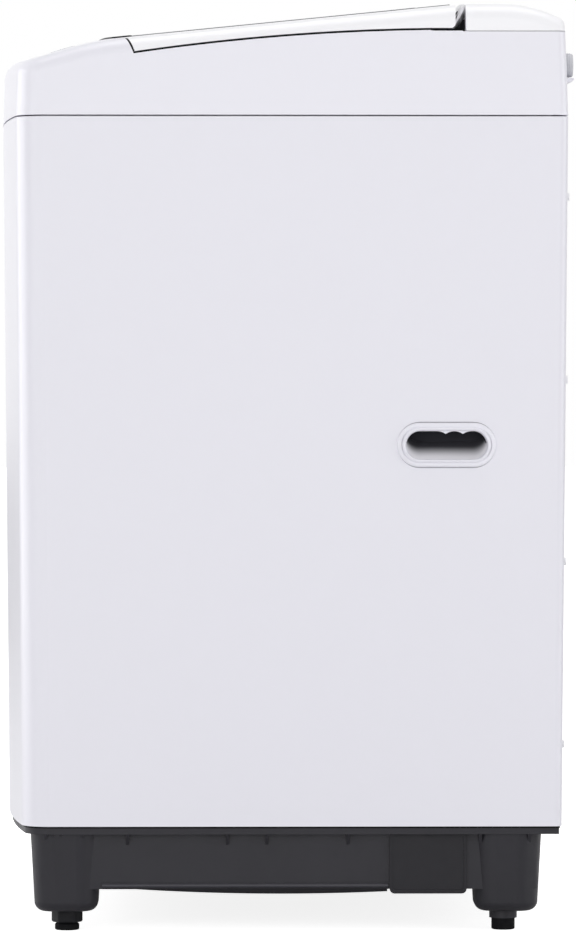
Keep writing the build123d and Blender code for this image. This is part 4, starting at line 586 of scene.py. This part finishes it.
def add_stroke(builder, points, width, low, place, closed=False):
    """Ribbon of even width along points."""
    count = len(points)
    left, right = [], []
    for n in range(count):
        before = points[n - 1] if n or closed else points[n]
        after = points[(n + 1) % count] if n < count - 1 or closed else points[n]
        along = Vector((after[0] - before[0], after[1] - before[1])).normalized()
        side = Vector((-along.y, along.x)) * width / 2
        left.append((points[n][0] + side.x, points[n][1] + side.y))
        right.append((points[n][0] - side.x, points[n][1] - side.y))
    left_low, left_high = [placed(builder, left, height, place) for height in (low, low + INK)]
    right_low, right_high = [placed(builder, right, height, place) for height in (low, low + INK)]
    for n in range(count if closed else count - 1):
        k = (n + 1) % count
        builder.faces.new((left_high[n], left_high[k], right_high[k], right_high[n]))
        builder.faces.new((left_low[n], right_low[n], right_low[k], left_low[k]))
        builder.faces.new((left_low[n], left_low[k], left_high[k], left_high[n]))
        builder.faces.new((right_low[n], right_high[n], right_high[k], right_low[k]))
    if not closed:
        for n in (0, count - 1):
            builder.faces.new((left_low[n], left_high[n], right_high[n], right_low[n]))


def arc(radius, start, end, steps, middle=(0, 0)):
    """Points along an arc, angles in degrees."""
    turns = [math.radians(start + (end - start) * n / steps) for n in range(steps + 1)]
    return [(middle[0] + radius * math.cos(t), middle[1] + radius * math.sin(t)) for t in turns]


def marks(name, x, strokes, low, look, body, slot, prisms=()):
    """One printed mark made of strokes (points, width, closed) and filled outlines."""
    builder = bmesh.new()
    place = panel_frame(x)
    for points, width, closed in strokes:
        add_stroke(builder, points, width, low, place, closed)
    for outline in prisms:
        add_prism(builder, outline, low, place)
    new_piece(name, builder, body, slot, look)


POWER_X, START_X = -180, 165
POWER_MARK = [(arc(4.2, 125, 415, 28), 1.0, False), ([(0, 1.0), (0, 5.6)], 1.0, False)]
PAUSE_MARK = [([(u, -3.6), (u, 3.6)], 1.3, False) for u in (3.0, 5.8)]
PLAY_MARK = [[(-5.6, -3.9), (0.9, 0), (-5.6, 3.9)]]
LAMP_DOT = arc(1.1, 0, 337.5, 15, (0, 10.5))
SMALL_MARKS = {
    "water_level": [([(u, -2.2), (u, high)], 1.6, False) for u, high in ((-4, -0.6), (0, 0.8), (4, 2.2))],
    "wash": [([(u / 2, 0.9 * math.sin(u * 0.7) + v) for u in range(-12, 13)], 0.7, False)
             for v in (-1.3, 1.3)],
    "rinse": [(arc(1.5, 150, 390, 14, (u, -0.6)) + [(u, 2.4)], 0.6, True) for u in (-4, 0, 4)],
    "spin": [([(0.11 * n * math.cos(n * 0.42), 0.075 * n * math.sin(n * 0.42)) for n in range(6, 38)],
              0.6, False)],
    "delay": [(arc(2.7, 0, 345, 23), 0.6, True), ([(0, 1.7), (0, 0), (1.3, -0.6)], 0.6, False)],
    "program": [([(u, -0.5), (u, 0.5)], 1.1, False) for u in (-5, -2.5, 0, 2.5, 5)],
}
BUTTON_X = {"water_level": -145, "wash": -115, "rinse": -85, "spin": 59, "delay": 89, "program": 119}

marks("mark_power", POWER_X, POWER_MARK, BUTTON_PROUD, "ink_dark", "button_power", "button_grey")
marks("mark_start", START_X, PAUSE_MARK, BUTTON_PROUD, "ink_dark", "button_start", "button_bright", PLAY_MARK)
for button, button_strokes in SMALL_MARKS.items():
    marks("mark_" + button, BUTTON_X[button], button_strokes, BUTTON_PROUD, "ink_dark", "button_" + button,
          "button_grey")
    marks("lamp_" + button, BUTTON_X[button], [], LAMP_PROUD, "lamp_dot", "cabinet", "fascia_film",
          [LAMP_DOT])

# Digits on the display, from seven strokes each, with two dots between hours and minutes
SEGMENTS = {
    "a": ((-2.6, 5), (2.6, 5)), "b": ((3, 4.6), (3, 0.4)), "c": ((3, -0.4), (3, -4.6)),
    "d": ((-2.6, -5), (2.6, -5)), "e": ((-3, -0.4), (-3, -4.6)), "f": ((-3, 4.6), (-3, 0.4)),
    "g": ((-2.6, 0), (2.6, 0)),
}
DIGITS = {"0": "abcdef", "4": "bcfg", "5": "acdfg"}
DIGIT_PLACES = (("0", -21), ("4", 5), ("5", 17))
DOTS_X, DOTS_V = -9, (-2.4, 2.4)
DISPLAY_X, DIGIT_WIDTH, DOT_WIDTH, DOT_HALF = -13, 1.1, 1.2, 0.6
digit_strokes = []
for digit, middle in DIGIT_PLACES:
    for segment in DIGITS[digit]:
        digit_strokes.append(([(u + middle, v) for u, v in SEGMENTS[segment]], DIGIT_WIDTH, False))
digit_strokes += [([(DOTS_X, v - DOT_HALF), (DOTS_X, v + DOT_HALF)], DOT_WIDTH, False) for v in DOTS_V]
marks("display_digits", DISPLAY_X, digit_strokes, DISPLAY_PROUD, "ink_light", "cabinet", "display")


# Thread on the inlet spigot
SPIGOT_X, SPIGOT_Z = 235, 887
THREAD_R, THREAD_PITCH, THREAD_HEIGHT = 12.06, 1.81, 0.55
THREAD_START, THREAD_FREE = 287.2, 1.2
THREAD_FOOT, THREAD_CREST, THREAD_SUNK = 0.42, 0.12, 0.1
THREAD_STEPS, THREAD_ANGLE = 32, 40


def thread_ridge(start, end):
    """Helical ridge about an axis along Y, tapering to nothing at both ends."""
    builder = bmesh.new()
    total = int((end - start - THREAD_PITCH) / THREAD_PITCH * THREAD_STEPS)
    rings = []
    for n in range(total + 1):
        turn = 2 * math.pi * n / THREAD_STEPS
        run = start + THREAD_PITCH / 2 + n * THREAD_PITCH / THREAD_STEPS
        height = min(1, n / THREAD_STEPS * 2, (total - n) / THREAD_STEPS * 2) * THREAD_HEIGHT
        ring = []
        for along, out in ((-THREAD_FOOT, -THREAD_SUNK), (-THREAD_CREST, height), (THREAD_CREST, height),
                           (THREAD_FOOT, -THREAD_SUNK)):
            reach = THREAD_R + out
            ring.append(vertex(builder, SPIGOT_X + reach * math.cos(turn), run + along * THREAD_PITCH,
                               SPIGOT_Z + reach * math.sin(turn)))
        rings.append(ring)
    skin(builder, rings, ends=True)
    return builder


spigot_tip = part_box("inlet_valve")[1][1] / MM
thread = thread_ridge(THREAD_START, spigot_tip - THREAD_FREE)
shade_smooth(new_piece("inlet_thread", thread, "cabinet", "valve_plastic"), THREAD_ANGLE)


# Behind the lid: a black strip on the cover and a black strip above the lid's slanted drip edge, both painted
# shade in the hinge gap; the drip edge itself is in the lighter white of painted light
HINGE_Y, HINGE_Z, SWEEP_R = 163, 941, 21.4
HINGE_SHADE_Y, HINGE_SHADE_Z, HINGE_SHADE_HALF = (184.2, 182.5, 180, 177, 174, 171), (918.8, 932), 268
DRIP_EDGE = ((174, 924.6), (174, 928.2), (178.4, 939), (180.2, 945), (183.2, 945), (183.2, 941))
DRIP_SHADE_PROFILE = ((174, 931.5), (177.6, 940.2), (176.4, 940.2), (174, 937))
DRIP_EDGE_HALF, DRIP_SHADE_HALF = 267, 266
EAR_X, EAR_ROOM = 170, 11.5


def strip(name, profile, spans, body, slot, look=None):
    """Prisms of one profile of depths and heights, between pairs of places across the machine."""
    builder = bmesh.new()
    for span in spans:
        skin(builder, [[vertex(builder, x, y, z) for y, z in profile] for x in span], ends=True)
    new_piece(name, builder, body, slot, look)


def sweep_z(y):
    """Height of the lower half of the lid's sweep about its hinge."""
    return HINGE_Z - math.sqrt(max(SWEEP_R ** 2 - (y - HINGE_Y) ** 2, 0))


def hinge_gap_shade():
    """Profile of the black strip that paints the gap's shade, which stays clear of the lid's sweep."""
    low, high = HINGE_SHADE_Z
    top = [(y, min(sweep_z(y), high)) for y in HINGE_SHADE_Y]
    return [(HINGE_SHADE_Y[-1], low), (HINGE_SHADE_Y[0], low)] + top


def between_ears(half_width):
    """Spans across the lid that leave room for the two hinge ears of the cover."""
    inner, outer = EAR_X - EAR_ROOM, EAR_X + EAR_ROOM
    return [(-half_width, -outer), (-inner, inner), (outer, half_width)]


# Black strips in the hinge gap, painted shade
strip("hinge_gap_shade", hinge_gap_shade(), [(-HINGE_SHADE_HALF, HINGE_SHADE_HALF)], "cabinet", "black_rubber")
strip("drip_edge", DRIP_EDGE, between_ears(DRIP_EDGE_HALF), "lid", "white_plastic", "painted_light_white")
strip("drip_gap_shade", DRIP_SHADE_PROFILE, between_ears(DRIP_SHADE_HALF), "lid", "black_rubber")


# Black strips that paint the shade in the gap round the lid: strips along the deck's sides, and an edging on
# the lid's leaning front
DECK = ((-194, 888.8), (3.6, 912.8), (148, 919.2))
DECK_SHADE_X = (283.5, 288.6)
DECK_SHADE_Y = (-156, -120, -80, -40, 0, 3.6, 40, 80, 120, 148, 150)
DECK_SHADE_SUNK, DECK_SHADE_PROUD, DECK_SHADE_CHAMFER = 0.2, 1.85, 0.4
FRONT_Y, FRONT_R = -192, 1250
FRONT_FOOT_Z, FRONT_LEAN = 906, math.tan(math.radians(20))
SHOULDER_X, SHOULDER_R = 278, 14
EDGING_HALF, EDGING_STEPS = 290.4, 72
EDGING_FOOT_Z, EDGING_FOOT = 900, 2.2
EDGING_ABOVE_DECK, EDGING_BELOW_TOP = 2.4, 0.9
EDGING_BACK, EDGING_FACE = 2.4, 0.8


def circle_through(one, two, three):
    """Middle and radius of the circle through three points."""
    ax, ay = two[0] - one[0], two[1] - one[1]
    bx, by = three[0] - one[0], three[1] - one[1]
    turn = 2 * (ax * by - ay * bx)
    a, b = ax ** 2 + ay ** 2, bx ** 2 + by ** 2
    u, v = (by * a - ay * b) / turn, (ax * b - bx * a) / turn
    return (one[0] + u, one[1] + v), math.hypot(u, v)


DECK_MIDDLE, DECK_RADIUS = circle_through(*DECK)


def deck_z(y):
    """Height of the cover's arched deck."""
    run = min(y, DECK[2][0]) - DECK_MIDDLE[0]
    return DECK_MIDDLE[1] + math.sqrt(DECK_RADIUS ** 2 - run ** 2)


def deck_gap_shade(side):
    """Black strip along the deck, painted shade for the gap, with its outer top edge taken off."""
    builder = bmesh.new()
    inner, outer = DECK_SHADE_X
    rings = []
    for y in DECK_SHADE_Y:
        low, high = deck_z(y) - DECK_SHADE_SUNK, deck_z(y) + DECK_SHADE_PROUD
        profile = ((inner, low), (outer, low), (outer, high - DECK_SHADE_CHAMFER),
                   (outer - DECK_SHADE_CHAMFER, high), (inner, high))
        rings.append([vertex(builder, side * x, y, z) for x, z in profile])
    skin(builder, rings, ends=True)
    return builder


def lid_front_y(x, z, margin):
    """Depth of the lid's leaning front face, set in by a margin from the cover's own face."""
    reach = FRONT_R - margin + (z - FRONT_FOOT_Z) * FRONT_LEAN
    return FRONT_Y + FRONT_R - math.sqrt(reach ** 2 - x ** 2)


def shoulder_z(x, y):
    """Height of the top surface with its rounded shoulder along the sides."""
    run = min(abs(x), SHOULDER_X)
    drop = SHOULDER_R - math.sqrt(SHOULDER_R ** 2 - min(abs(x) - run, SHOULDER_R) ** 2)
    return lid_top(run, y) - drop


def front_edging():
    """Black band on the lid's front face, painted shade for the gap, from just above the deck to just below
    the top.
    """
    builder = bmesh.new()
    rings = []
    for k in range(EDGING_STEPS + 1):
        x = -EDGING_HALF * math.cos(math.pi * k / EDGING_STEPS)
        y = lid_front_y(x, EDGING_FOOT_Z, EDGING_FOOT)
        low, high = deck_z(y) + EDGING_ABOVE_DECK, shoulder_z(x, y) - EDGING_BELOW_TOP
        profile = ((low, EDGING_BACK), (low, EDGING_FACE), (high, EDGING_FACE), (high, EDGING_BACK))
        rings.append([vertex(builder, x, lid_front_y(x, z, margin), z) for z, margin in profile])
    skin(builder, rings, ends=True)
    return builder


# Black strips round the lid, painted shade
for side, side_name in SIDES:
    new_piece("deck_gap_shade_" + side_name, deck_gap_shade(side), "cabinet", "black_rubber")
shade_smooth(new_piece("lid_edging", front_edging(), "lid", "black_rubber"))


# Trims on the lid's crowned top, the handle's lip in front and a strip along the rear of the glass: depths,
# bow, half width, lifts above the top, and rounding
HANDLE_LIP = ((-198.3, -176.3), 0.000415, 222, (0.15, 1.5), 2.0)
REAR_TRIM = ((136, 171.5), 0, 224, (-0.3, 0.75), 1.0)
TRIM_STEPS, TRIM_PROFILE_STEPS = 48, 6
TRIM_ROUND = (0.3, 0.35)


def crowned_trim(name, y_range, bow, half_width, lifts, round_off, slot):
    """Thin strip that follows the crowned top, bowed back at its ends and rounded along both long edges."""
    builder = bmesh.new()
    first, last = y_range
    low, high = lifts
    edge = round_off * TRIM_ROUND[0]
    edge_lift = high - (high - low) * TRIM_ROUND[1]
    flat = last - first - 2 * round_off
    profile = [(first, low), (first + edge, edge_lift), (first + round_off, high)]
    for k in range(1, TRIM_PROFILE_STEPS):
        profile.append((first + round_off + flat * k / TRIM_PROFILE_STEPS, high))
    profile += [(last - round_off, high), (last - edge, edge_lift), (last, low)]
    rings = []
    for k in range(TRIM_STEPS + 1):
        x = -half_width + 2 * half_width * k / TRIM_STEPS
        back = bow * x ** 2
        rings.append([vertex(builder, x, y + back, lid_top(x, y + back) + lift) for y, lift in profile])
    skin(builder, rings, ends=True)
    shade_smooth(new_piece(name, builder, "lid", slot))


crowned_trim("lid_handle_lip", *HANDLE_LIP, "black_plastic")
crowned_trim("lid_rear_trim", *REAR_TRIM, "lid_glass")


# Hand grips: raised ring and a thin grey line round the mouth, whose grey is a painted shadow line; sloping
# floor in the pocket, darkened inward with painted shade; and a dark sheet of painted shade inside the
# pocket.
# Profiles are distances out from the mouth's edge, and out of the machine's side or into it
GRIP_X, GRIP_Y, GRIP_Z = 295, 165, 497.5
MOUTH_HALF, MOUTH_R = 27, 14
RING = ((4.9, 1.1), (4.6, 2.6), (3.9, 4.3), (2.9, 5.5), (1.9, 5.9), (1.0, 5.3), (0.4, 3.8), (0.1, 1.8),
        (0.1, 0.3), (4.6, 0.3))
# Grey band round the outside of the ring, a painted shadow line along the grip's edge
SEAL = ((9.5, -0.2), (9.5, 0.3), (9.2, 0.5), (8.4, 0.5), (8.4, -0.2))
# Dark sheet inside the pocket, painted shade
SHADE_SHEET = ((-0.15, 29.9), (-0.15, 9.6), (-0.75, 9.6), (-0.75, 29.2))
TURN_STEP = 10
FLOOR_HALF, FLOOR_R = 40.8, 13.9
FLOOR_START, FLOOR_DEEP, FLOOR_RISE = 0.4, 29.2, 17.5
FLOOR_SUNK, FLOOR_CLEAR = 0.2, 0.1
FLOOR_STEPS, FLOOR_DEEP_STEPS = 48, 14


def grip_vertex(builder, side, u, v, out):
    """New corner at a distance along, above and out of a grip's mouth."""
    return vertex(builder, side * (GRIP_X + out), GRIP_Y + u, GRIP_Z + v)


def slot_points(grow):
    """Points round the mouth's outline, moved outward."""
    points = []
    radius = MOUTH_R + grow
    for start, middle in ((-90, MOUTH_HALF), (90, -MOUTH_HALF)):
        for degrees in range(start, start + 181, TURN_STEP):
            turn = math.radians(degrees)
            points.append((middle + radius * math.cos(turn), radius * math.sin(turn)))
    return points


def grip_ring(side, profile):
    """Ring round the mouth."""
    builder = bmesh.new()
    skin(builder, [[grip_vertex(builder, side, u, v, out) for u, v in slot_points(grow)]
                   for grow, out in profile])
    return builder


def slot_half(u):
    """Half height of the pocket's mouth at a distance along it."""
    return math.sqrt(max(FLOOR_R ** 2 - max(abs(u) - MOUTH_HALF, 0) ** 2, 0))


def pocket_floor(side):
    """Wedge that rises from the mouth's lower edge to the back of the pocket."""
    builder = bmesh.new()
    along = [-FLOOR_HALF * math.cos(math.pi * k / FLOOR_STEPS) for k in range(FLOOR_STEPS + 1)]
    top, bottom = [], []
    for k in range(FLOOR_DEEP_STEPS + 1):
        deep = FLOOR_START + FLOOR_DEEP * k / FLOOR_DEEP_STEPS
        rise = FLOOR_RISE * k / FLOOR_DEEP_STEPS + FLOOR_CLEAR
        heights = [min(rise - slot_half(u), slot_half(u)) for u in along]
        top.append([grip_vertex(builder, side, u, v, -deep) for u, v in zip(along, heights)])
        bottom.append([grip_vertex(builder, side, u, -slot_half(u) - FLOOR_SUNK, -deep) for u in along])
    for grid, flip in ((top, False), (bottom, True)):
        for one, two in zip(grid, grid[1:]):
            for k in range(FLOOR_STEPS):
                face = (one[k], one[k + 1], two[k + 1], two[k])
                builder.faces.new(face[::-1] if flip else face)
    for one, two in ((top[0], bottom[0]), (top[-1], bottom[-1])):
        for k in range(FLOOR_STEPS):
            builder.faces.new((one[k], one[k + 1], two[k + 1], two[k]))
    for k in (0, FLOOR_STEPS):
        for j in range(FLOOR_DEEP_STEPS):
            builder.faces.new((top[j][k], top[j + 1][k], bottom[j + 1][k], bottom[j][k]))
    return builder


def pocket_shade_sheet(side):
    """Slot-shaped tube with a closed back, set just inside the pocket; a dark sheet that paints in the
    pocket's shade.
    """
    builder = bmesh.new()
    rings = [[grip_vertex(builder, side, u, v, -deep) for u, v in slot_points(grow)] for grow, deep in SHADE_SHEET]
    skin(builder, rings, ends=True)
    return builder


for side, side_name in SIDES:
    shade_smooth(new_piece("grip_ring_" + side_name, grip_ring(side, RING), "cabinet", "white_plastic"))
    new_piece("grip_shade_line_" + side_name, grip_ring(side, SEAL), "cabinet", "grey_plastic", "edge_line_painted_shade")
    shade_smooth(new_piece("pocket_floor_" + side_name, pocket_floor(side), "cabinet", "grey_plastic",
                           "pocket_floor_painted_shade"))
    shade_smooth(new_piece("pocket_shade_sheet_" + side_name, pocket_shade_sheet(side), "cabinet", "black_plastic",
                           "pocket_sheet_painted_shade"))


# Black band between the cabinet's lower edge and the flange of the base, painted shade for the gap there, as
# insets and heights
CASE_HALF, CASE_FRONT, CASE_REAR, CASE_BOW, CASE_CORNER, CASE_LEAN = 295, -297, 289, 27, 30, 6
BOW_STEPS, CORNER_STEPS = 24, 10
BASE_SHADE_BAND = ((2.2, 107.1), (2.2, 108.8), (7, 108.8), (7, 107.1))


def case_outline(inset):
    """Points round the foot of the case, set in all round: bowed front, round front corners, square rear."""
    half, radius = CASE_HALF - inset, CASE_CORNER - inset
    front, rear = CASE_FRONT + inset + CASE_LEAN, CASE_REAR - inset - CASE_LEAN
    bow = (half ** 2 + CASE_BOW ** 2) / (2 * CASE_BOW)
    corner_x = half - radius
    corner_y = front + bow - math.sqrt((bow - radius) ** 2 - corner_x ** 2)
    reach = math.atan2(corner_x, front + bow - corner_y)
    bow_turns = [reach * k / BOW_STEPS for k in range(-BOW_STEPS, BOW_STEPS + 1)]
    middle = [(bow * math.sin(t), front + bow - bow * math.cos(t)) for t in bow_turns]
    corner_turns = [reach + (math.pi / 2 - reach) * k / CORNER_STEPS for k in range(1, CORNER_STEPS + 1)]
    right = [(corner_x + radius * math.sin(t), corner_y - radius * math.cos(t)) for t in corner_turns]
    left = [(-x, y) for x, y in reversed(right)]
    return left + middle + right + [(half, rear), (-half, rear)]


def base_shade_band():
    """Thin closed black band of painted shade that stands a little out of the flange."""
    builder = bmesh.new()
    skin(builder, [[vertex(builder, x, y, z) for x, y in case_outline(inset)] for inset, z in BASE_SHADE_BAND])
    return builder


shade_smooth(new_piece("base_shade_band", base_shade_band(), "cabinet", "black_rubber"))


# Foot of the base's sides: rounded bead whose lighter colour is a painted highlight, and an under-edge
# darkened with painted shade down to the sagging belly
SKIRT_FACE, SILL_FACE = 281, 281.9
SKIRT_LOW_Z = 44
SILL_ENDS = (-186, 105.8)
BEAD = ((-0.3, 45.4), (0.6, 45.8), (1.1, 46.6), (1.25, 47.6), (1.1, 48.5), (0.6, 49.3), (-0.3, 49.8))
BELLY_LOW_Z, BELLY_MID_Y, BELLY_CURVE = 39.228, -1.394, 0.00020957
UNDER_Y = (SILL_ENDS[0], *range(-152, 105, 8), 105)
UNDER_HIGH_Z, UNDER_BEND_Z = 45.6, 44.3
UNDER_PROUD, UNDER_BACK_HIGH, UNDER_BACK_LOW = 0.15, 281.5, 280.8


def sill_bead(side):
    """Bead along the sill, between the front leg and the port cover; its rounded form is real and its lighter
    colour is a painted highlight.
    """
    builder = bmesh.new()
    rings = [[vertex(builder, side * (SILL_FACE + out), y, z) for out, z in BEAD] for y in SILL_ENDS]
    skin(builder, rings, ends=True)
    return builder


def belly_z(y):
    """Height of the base's lower edge, which sags between the legs."""
    return min(SKIRT_LOW_Z, BELLY_LOW_Z + BELLY_CURVE * (y - BELLY_MID_Y) ** 2)


def under_edge(side):
    """Strip that leans in from below the bead to the lower edge; its darker colour is painted shade."""
    builder = bmesh.new()
    rings = []
    for y in UNDER_Y:
        profile = ((UNDER_BACK_HIGH, UNDER_HIGH_Z), (SILL_FACE + UNDER_PROUD, UNDER_HIGH_Z),
                   (SILL_FACE + UNDER_PROUD, UNDER_BEND_Z), (SKIRT_FACE + UNDER_PROUD, belly_z(y)),
                   (UNDER_BACK_LOW, belly_z(y)), (UNDER_BACK_LOW, UNDER_BEND_Z))
        rings.append([vertex(builder, side * x, y, z) for x, z in profile])
    skin(builder, rings, ends=True)
    return builder


for side, side_name in SIDES:
    shade_smooth(new_piece("sill_bead_" + side_name, sill_bead(side), "cabinet", "dark_plastic", "bead_painted_highlight"))
    new_piece("under_edge_" + side_name, under_edge(side), "cabinet", "dark_plastic", "belly_painted_shade")


# Stage: pale floor and world, white where they are seen or mirrored, and soft lamps all round
FLOOR_SIZE = 60
FLOOR_WAVES, FLOOR_TONES = 0.6, ((0.90, 0.90, 0.90), (0.93, 0.93, 0.93))
FLOOR_ROUGH = 0.9
FLOOR_MIRRORED = 0.08
FLOOR_LIFT, FLOOR_LIFT_REACH = (0.84, 1.0), (0.8, 4.0)
WORLD_LIGHT = 0.35


def add_floor():
    """Large pale floor that keeps the shadow and goes to white further out."""
    bpy.ops.mesh.primitive_plane_add(size=FLOOR_SIZE)
    floor = bpy.context.object
    floor.name = "floor"
    material, tree, shader = shader_tree("floor")
    link(tree, two_colours(tree, noise(tree, FLOOR_WAVES), *FLOOR_TONES), shader.inputs["Base Color"])
    shader.inputs["Roughness"].default_value = FLOOR_ROUGH
    shader.inputs["Specular IOR Level"].default_value = 0.0
    path = tree.nodes.new("ShaderNodeLightPath").outputs
    mirrored = math_node(tree, "MAXIMUM", path["Is Glossy Ray"], path["Is Transmission Ray"])
    mirrored = between(tree, mirrored, 0, FLOOR_MIRRORED, 0, 1)
    seen = math_node(tree, "MAXIMUM", path["Is Camera Ray"], mirrored)
    far = tree.nodes.new("ShaderNodeVectorMath")
    far.operation = "LENGTH"
    link(tree, position(tree), far.inputs["Vector"])
    lift = between(tree, far.outputs["Value"], *FLOOR_LIFT, *FLOOR_LIFT_REACH)
    shader.inputs["Emission Color"].default_value = (1, 1, 1, 1)
    link(tree, math_node(tree, "MULTIPLY", seen, lift), shader.inputs["Emission Strength"])
    floor.data.materials.append(material)


def add_world(level):
    """White for the camera, reflections and glass; soft even light for the rest."""
    world = bpy.data.worlds.new("world")
    scene.world = world
    world.use_nodes = True
    tree = world.node_tree
    background = next(n for n in tree.nodes if n.type == "BACKGROUND")
    background.inputs["Color"].default_value = (1, 1, 1, 1)
    path = tree.nodes.new("ShaderNodeLightPath").outputs
    seen = math_node(tree, "MAXIMUM", path["Is Camera Ray"], path["Is Glossy Ray"])
    seen = math_node(tree, "MAXIMUM", seen, path["Is Transmission Ray"])
    link(tree, between(tree, seen, level, 1.0, 0, 1), background.inputs["Strength"])


def add_lamp(name, place, target, size, power, mirrored=True):
    """Soft lamp of a given width and height aimed at a point; glossy surfaces may mirror it or not."""
    data = bpy.data.lights.new(name, "AREA")
    data.shape = "RECTANGLE"
    data.size, data.size_y = size
    data.energy = power
    lamp = bpy.data.objects.new(name, data)
    lamp.location = place
    lamp.rotation_euler = (Vector(target) - Vector(place)).to_track_quat("-Z", "Y").to_euler()
    lamp.visible_glossy = mirrored
    scene.collection.objects.link(lamp)


add_floor()
add_world(WORLD_LIGHT)
add_lamp("lamp_key", (8.0, -3.0, 1.1), (0, 0, 0.4), (12.0, 7.0), 434)
add_lamp("lamp_top", (0.1, 0.2, 4.6), (0, 0, 0.6), (3.0, 3.0), 60)
add_lamp("lamp_front", (-0.9, -3.9, 1.0), (0, 0, 0.6), (3.6, 2.8), 66)
add_lamp("lamp_rear", (2.3, 4.6, 1.3), (0, 0, 0.6), (3.0, 2.8), 62)
add_lamp("lamp_back", (-4.6, 2.2, 2.2), (0, 0, 0.5), (2.8, 2.8), 40, mirrored=False)

scene.view_settings.view_transform = "Standard"
